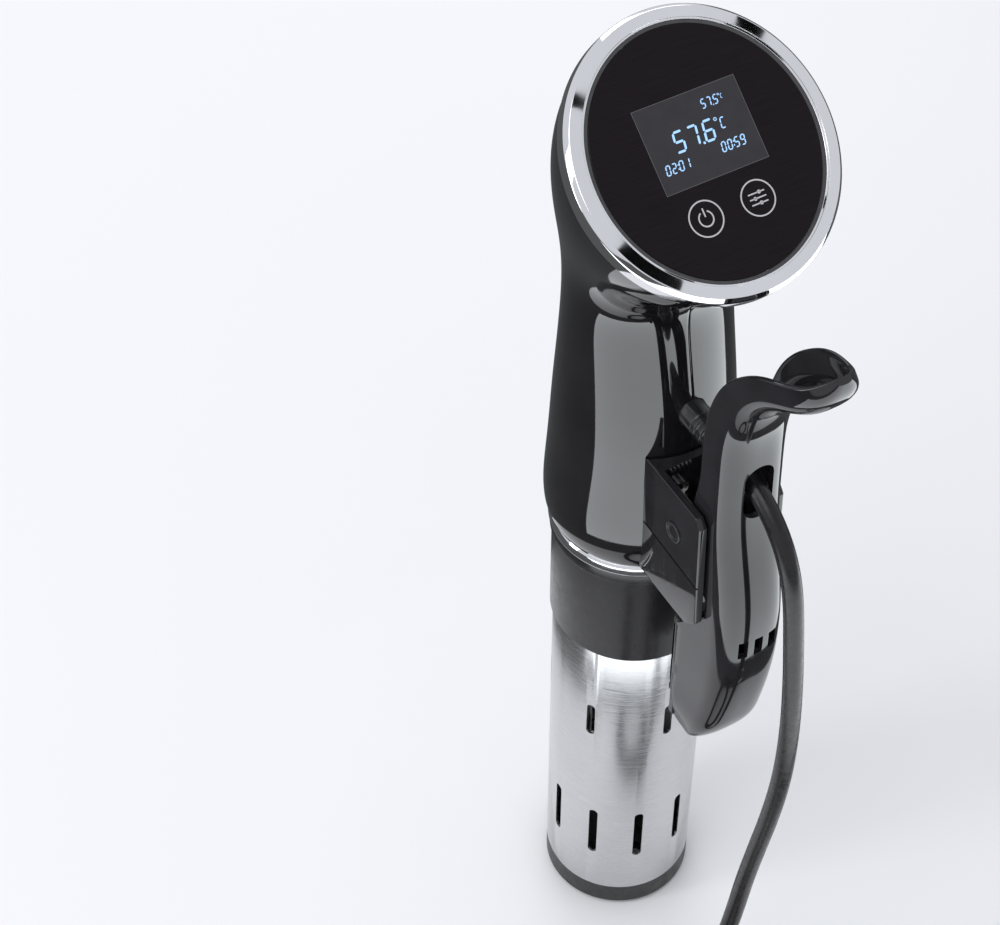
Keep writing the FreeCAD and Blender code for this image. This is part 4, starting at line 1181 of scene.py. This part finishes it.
class CIRCULATOR_OT_display(Operator):
    """Chrome bezel, black glass, lit panel with its digits and the touch fields"""
    bl_idname = "circulator.display"
    bl_label = "Display"

    def execute(self, context):
        size = millimetres(context.scene.circulator_display)
        build_bezel(size)
        build_glass(size)
        build_panel()
        build_digits(size.digit_height / DIGIT_HEIGHT)
        build_touch_fields()
        return {"FINISHED"}


# --- clamp ------------------------------------------------------------------------------

PIVOT = Vector((0.0, -2.6, 34.0))
BRACKET_SCREWS = [(side * 7.0, height) for side in (-1, 1) for height in (13.0, 41.0)]
GROOVE_TURN = Matrix.Rotation(math.radians(3.0), 4, "X")
# Radii cut out of the bracket: for the shells, the chrome ring, the pin and its two cups.
SHELL_CLEAR, TRIM_CLEAR, PIN_CLEAR, CUP_CLEAR = 28.65, 29.3, 2.02, 3.75
# How far a cutter reaches to each side of the middle, past all that it cuts.
PAST = 30.0


class CIRCULATOR_OT_bracket(Operator):
    """Clamp bracket: two side plates with a groove and pin recess, saddle and rim seat"""
    bl_idname = "circulator.bracket"
    bl_label = "Clamp bracket and pivot"

    def execute(self, context):
        size = millimetres(context.scene.circulator_clamp)
        inner, thick = size.plate_inner, size.plate
        outline = soften([(14.8, 0.0, 0.2), (-12.0, 0.0, 0.9), (-17.0, 5.0, 0.9),
                          (-15.4, 47.0, 0.8), (-13.0, 50.0, 0.8), (14.8, 50.0, 0.2)], 0.5)
        plates = [slab("plate", outline, low, low + thick, Y, Z, X, edge=size.edge)
                  for low in (-inner - thick, inner)]
        lap = inner + 0.5
        web = slab("web", rectangle(-lap, lap, 7.8, 14.8), 0.02, 49.98, X, Y, Z)
        outline = soften(rectangle(-lap, lap, -3.0, 14.8), 0.2, 2)
        seat = slab("seat", outline, 0.02, 2.6, X, Y, Z)
        whole = combine(plates[0], [plates[1], web, seat], "UNION")
        cutters = [rod(TUBE_AXIS, SHELL_CLEAR, -0.9, 80.0, Z, X, 192),
                   rod(TUBE_AXIS, TRIM_CLEAR, -20.0, 1.2, Z, X, 192),
                   rod(PIVOT, PIN_CLEAR, -PAST, PAST, X, Y)]
        for side in (-1, 1):
            outer = side * (inner + thick)
            turn = Matrix.Translation((outer, -1.0, 22.0)) @ GROOVE_TURN
            cutters.append(block((-0.5, -18.0, -0.42), (0.5, 18.0, 0.42), turn))
            low, high = sorted((-0.35 * side, 2.0 * side))
            cutters.append(rod(PIVOT + X * outer, CUP_CLEAR, low, high, X, Y))
        for x, z in BRACKET_SCREWS:
            cutters.append(rod(Vector((x, 5.0, z)), 1.55, 0.0, 16.0, Y, Z))
        combine(whole, cutters)
        whole.name = "clamp_cheeks"
        keep(whole, "black_gloss_trim", "housing", "black_gloss_trim", "clamp_bracket")

        reach = inner + thick
        pin = [(0.0, 0.0, 0), (2.0, 0.0, 0), (2.0, 2 * reach + 1.4, 0.3),
               (0.0, 2 * reach + 1.4, 0)]
        stem = lathe("pivot_stem", soften(pin, 0.1, 3), PIVOT - X * (reach + 0.2), X, Y, 48)
        keep(stem, "black_oxide", "housing", "steel_bright", "pivot_pin")
        cup = soften([(2.1, 0.0), (3.6, 0.0), (3.6, 0.9, 0.3), (3.1, 1.0, 0.2),
                      (2.9, 0.3, 0.3), (0.0, 0.25, 0), (0.0, 0.05, 0), (2.1, 0.05, 0)], 0.12)
        for side, name, nodes in ((-1, "left", ()), (1, "right", ("pin_clip",))):
            at = PIVOT + X * side * (reach - 0.3)
            recess = lathe("pin_cup_" + name, cup, at, X * side, Y, 64)
            keep(recess, "matte_black", "housing", "steel_bright", *nodes)
        return {"FINISHED"}


# Stations of the lever from the jaw's toe to the thumb scoop: middle of the open side
# (Y, Z), how far its back faces down in degrees, half width, depth of side, crown of back.
LEVER_STATIONS = (
    (-2.5, -59.0, 8.0, 10.4, 9.0, 4.0), (-2.5, -52.0, 2.0, 11.4, 11.5, 7.0),
    (-2.5, -41.0, 0.0, 11.5, 14.0, 8.6), (-2.5, -25.0, 0.0, 11.5, 16.2, 9.6),
    (-2.5, -5.0, 0.0, 11.5, 17.4, 10.4), (-2.7, 13.0, 0.0, 11.5, 16.4, 10.4),
    (-3.2, 29.0, 0.0, 11.5, 13.4, 10.0), (-4.6, 42.0, 0.0, 11.5, 9.8, 9.6),
    (-6.8, 53.0, 0.0, 11.5, 6.6, 9.3), (-8.2, 66.0, 0.0, 11.5, 4.7, 9.2),
    (-8.2, 81.0, 0.0, 11.5, 4.5, 9.2), (-9.9, 93.5, 12.0, 11.5, 4.4, 9.2),
    (-15.0, 106.5, 34.0, 11.5, 4.3, 9.2), (-23.0, 117.0, 50.0, 11.5, 4.1, 9.0),
    (-33.0, 125.0, 58.0, 11.2, 3.6, 8.6), (-42.0, 129.4, 52.0, 9.4, 2.6, 7.2),
    (-48.0, 133.6, 38.0, 5.9, 1.7, 3.8), (-50.6, 136.4, 32.0, 2.4, 0.9, 1.4),
)
JAW_TOP = -12.0
# The lever's back is boxier than a circle, whose power is 1.
CROWN_POWER = 2.0 / 2.7
TOE_STEPS = 4


def channel_half(half, skirt, crown, floor, steps):
    """Half of a channel's section from its rim at floor to the top of its full crown."""
    side = []
    if skirt > floor:
        side = [(half, floor + (skirt - floor) * k / 5) for k in range(5)]
    turns = [math.pi / 2 * k / steps for k in range(steps)]
    arc = [(half * math.cos(t) ** CROWN_POWER, skirt + crown * math.sin(t) ** CROWN_POWER)
           for t in turns]
    return side + arc


def lever_ring(row, wall, hollow, lip, steps=22):
    """One closed section of the lever: the outside, then the hollow, with a rounded rim."""
    y, z, angle, half, skirt, crown = row
    angle = math.radians(angle)
    back = Vector((0.0, -math.cos(angle), -math.sin(angle)))
    middle = Vector((0.0, y, z))
    outer = channel_half(half, skirt, crown, lip, steps)
    bore = max(half - wall, 0.2)
    depth = max((skirt + crown - wall) * hollow, lip + 0.02)
    inner_skirt = max(skirt * hollow, lip + 0.01)
    inner = channel_half(bore, inner_skirt, max(depth - inner_skirt, 0.01), lip, steps)
    rim_x, reach = (half + bore) / 2, (half - bore) / 2
    rim = [(rim_x + reach * math.cos(a), lip - lip * math.sin(a))
           for a in (math.pi * k / 6 for k in range(1, 6))]
    right = outer[::-1] + rim + inner
    left = [(-x, d) for x, d in right[::-1]]
    loop = [(0.0, skirt + crown), *right, (0.0, depth), *left]
    return [middle + X * x + back * d for x, d in loop]


def lever_rings(wall):
    """The lever's sections from the rounded toe to the closed tip of the thumb scoop."""
    rows = smooth_rows(LEVER_STATIONS, 1.5)
    rings = []
    for k in range(TOE_STEPS):
        t = math.pi / 2 * k / TOE_STEPS
        shrink = 2.2 * (1 - math.sin(t))
        row = np.array(rows[0])
        row[1] += 2.0 * (math.cos(math.pi / 2 * (TOE_STEPS - 1) / TOE_STEPS) - math.cos(t))
        row[3] -= shrink
        row[4:] -= shrink * 0.6
        rings.append(lever_ring(row, wall, 0.02, 0.35))
    for k, row in enumerate(rows[1:], start=1):
        rise = min(1.0, k / 8)
        fall = min(1.0, (len(rows) - 2 - k) / 12)
        hollow = math.sin(math.pi / 2 * rise) * math.sqrt(max(0.0, 1 - (1 - fall) ** 2))
        rings.append(lever_ring(row, wall, max(0.02, hollow), min(0.7, 0.35 * row[4])))
    return rings


class CIRCULATOR_OT_lever(Operator):
    """Clamp lever: hollow channel that ends in a thumb scoop, its jaw and the rubber pad"""
    bl_idname = "circulator.lever"
    bl_label = "Clamp lever and pad"

    def execute(self, context):
        size = millimetres(context.scene.circulator_clamp)
        lever = loft("lever_shell", lever_rings(size.lever_wall), 38.0)
        outline = soften([(-11.4, -58.6, 1.5), (11.4, -58.6, 1.5), (11.5, JAW_TOP, 0.2),
                          (-11.5, JAW_TOP, 0.2)], 0.3)
        jaw = slab("jaw", outline, 2.52, 4.6, X, Z, -Y, edge=0.25)
        ear = soften([(0.0, 0.0), (6.0, 0.0), (6.0, 2.0, 0.4), (0.0, 2.0, 0)], 0.1, 3)
        ears = [lathe("ear", ear, PIVOT + X * side * 9.5, X * side, Y, 64) for side in (-1, 1)]
        combine(lever, [jaw], "UNION")
        combine(lever, ears, "UNION")

        notch = slab("cutter", [(6.0, JAW_TOP), (-2.5, JAW_TOP), (-17.0, 5.5), (-17.0, 14.0),
                                (-8.5, 22.5), (6.0, 22.5)], -PAST, PAST, Y, Z, X)
        window = slab("cutter", capsule(10.0, 21.0, 12), 10.0, 34.0, X, Z, -Y, Z * 63.0)
        slot = soften(rectangle(-1.5, 1.5, -3.7, 3.7), 0.35, 3)
        slots = [slab("cutter", slot, 14.0, 38.0, X, Z, -Y, X * (5.2 * k)) for k in (-1, 0, 1)]
        bore = rod(PIVOT, 2.05, -PAST, PAST, X, Y)
        combine(lever, [notch, bore, *slots, window])
        lever.name = "clamp_lever_shell"
        keep(lever, "black_gloss_trim", "lever", "black_shell", "clamp_lever")

        low, high, ridges = -53.5, -15.5, 9
        side = []
        for k in range(ridges):
            start, end = (low + (high - low) * n / ridges for n in (k, k + 1))
            side += [(2.5, start + 1.2), (2.5, end - 1.2, 0.3), (1.7, end - 1.0, 0.2),
                     (1.7, end - 0.1, 0.2)]
        outline = [(-2.45, low, 0.2), (2.5, low, 0.6), *side[1:-2], (2.5, high, 0.6),
                   (-2.45, high, 0.2)]
        pad = slab("pad_grip", soften(outline, 0.3, 3), -8.5, 8.5, Y, Z, X, edge=0.5)
        keep(pad, "rubber_black", "lever", "rubber_black", "jaw_pad")
        return {"FINISHED"}


# --- the rest ---------------------------------------------------------------------------

class CIRCULATOR_OT_inner_parts(Operator):
    """Finishes for the CAD parts that are kept as they are, inside and out"""
    bl_idname = "circulator.inner_parts"
    bl_label = "Kept parts"

    def execute(self, context):
        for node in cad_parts.values():
            for place in node.material_slots:
                wanted = place.material.name.split(".")[0]
                if wanted not in RECIPES:
                    raise RuntimeError("no finish for " + wanted)
                place.material = finish(wanted)
        return {"FINISHED"}


class CIRCULATOR_PT_pieces(Panel):
    """Lists the pieces and their settings"""
    bl_idname = "CIRCULATOR_PT_pieces"
    bl_label = "Circulator"
    bl_space_type = "VIEW_3D"
    bl_region_type = "UI"
    bl_category = "Circulator"

    def draw(self, context):
        for operator in STEPS:
            self.layout.operator(operator.bl_idname)
        for name, group in SETTINGS.items():
            box = self.layout.box()
            for key in group.__annotations__:
                box.prop(getattr(context.scene, name), key)


STEPS = (
    CIRCULATOR_OT_studio, CIRCULATOR_OT_cord, CIRCULATOR_OT_plug, CIRCULATOR_OT_housing,
    CIRCULATOR_OT_tube, CIRCULATOR_OT_display, CIRCULATOR_OT_bracket, CIRCULATOR_OT_lever,
    CIRCULATOR_OT_inner_parts,
)
CLASSES = (*SETTINGS.values(), *STEPS, CIRCULATOR_PT_pieces)


def register():
    """Registers the classes and attaches the settings to the scene."""
    for kind in CLASSES:
        bpy.utils.register_class(kind)
    for name, group in SETTINGS.items():
        setattr(bpy.types.Scene, name, PointerProperty(type=group))


def unregister():
    """Takes the settings and classes away again."""
    for name in SETTINGS:
        delattr(bpy.types.Scene, name)
    for kind in reversed(CLASSES):
        bpy.utils.unregister_class(kind)


def main():
    register()
    for operator in STEPS:
        group, name = operator.bl_idname.split(".")
        getattr(getattr(bpy.ops, group), name)()


if __name__ == "__main__":
    main()
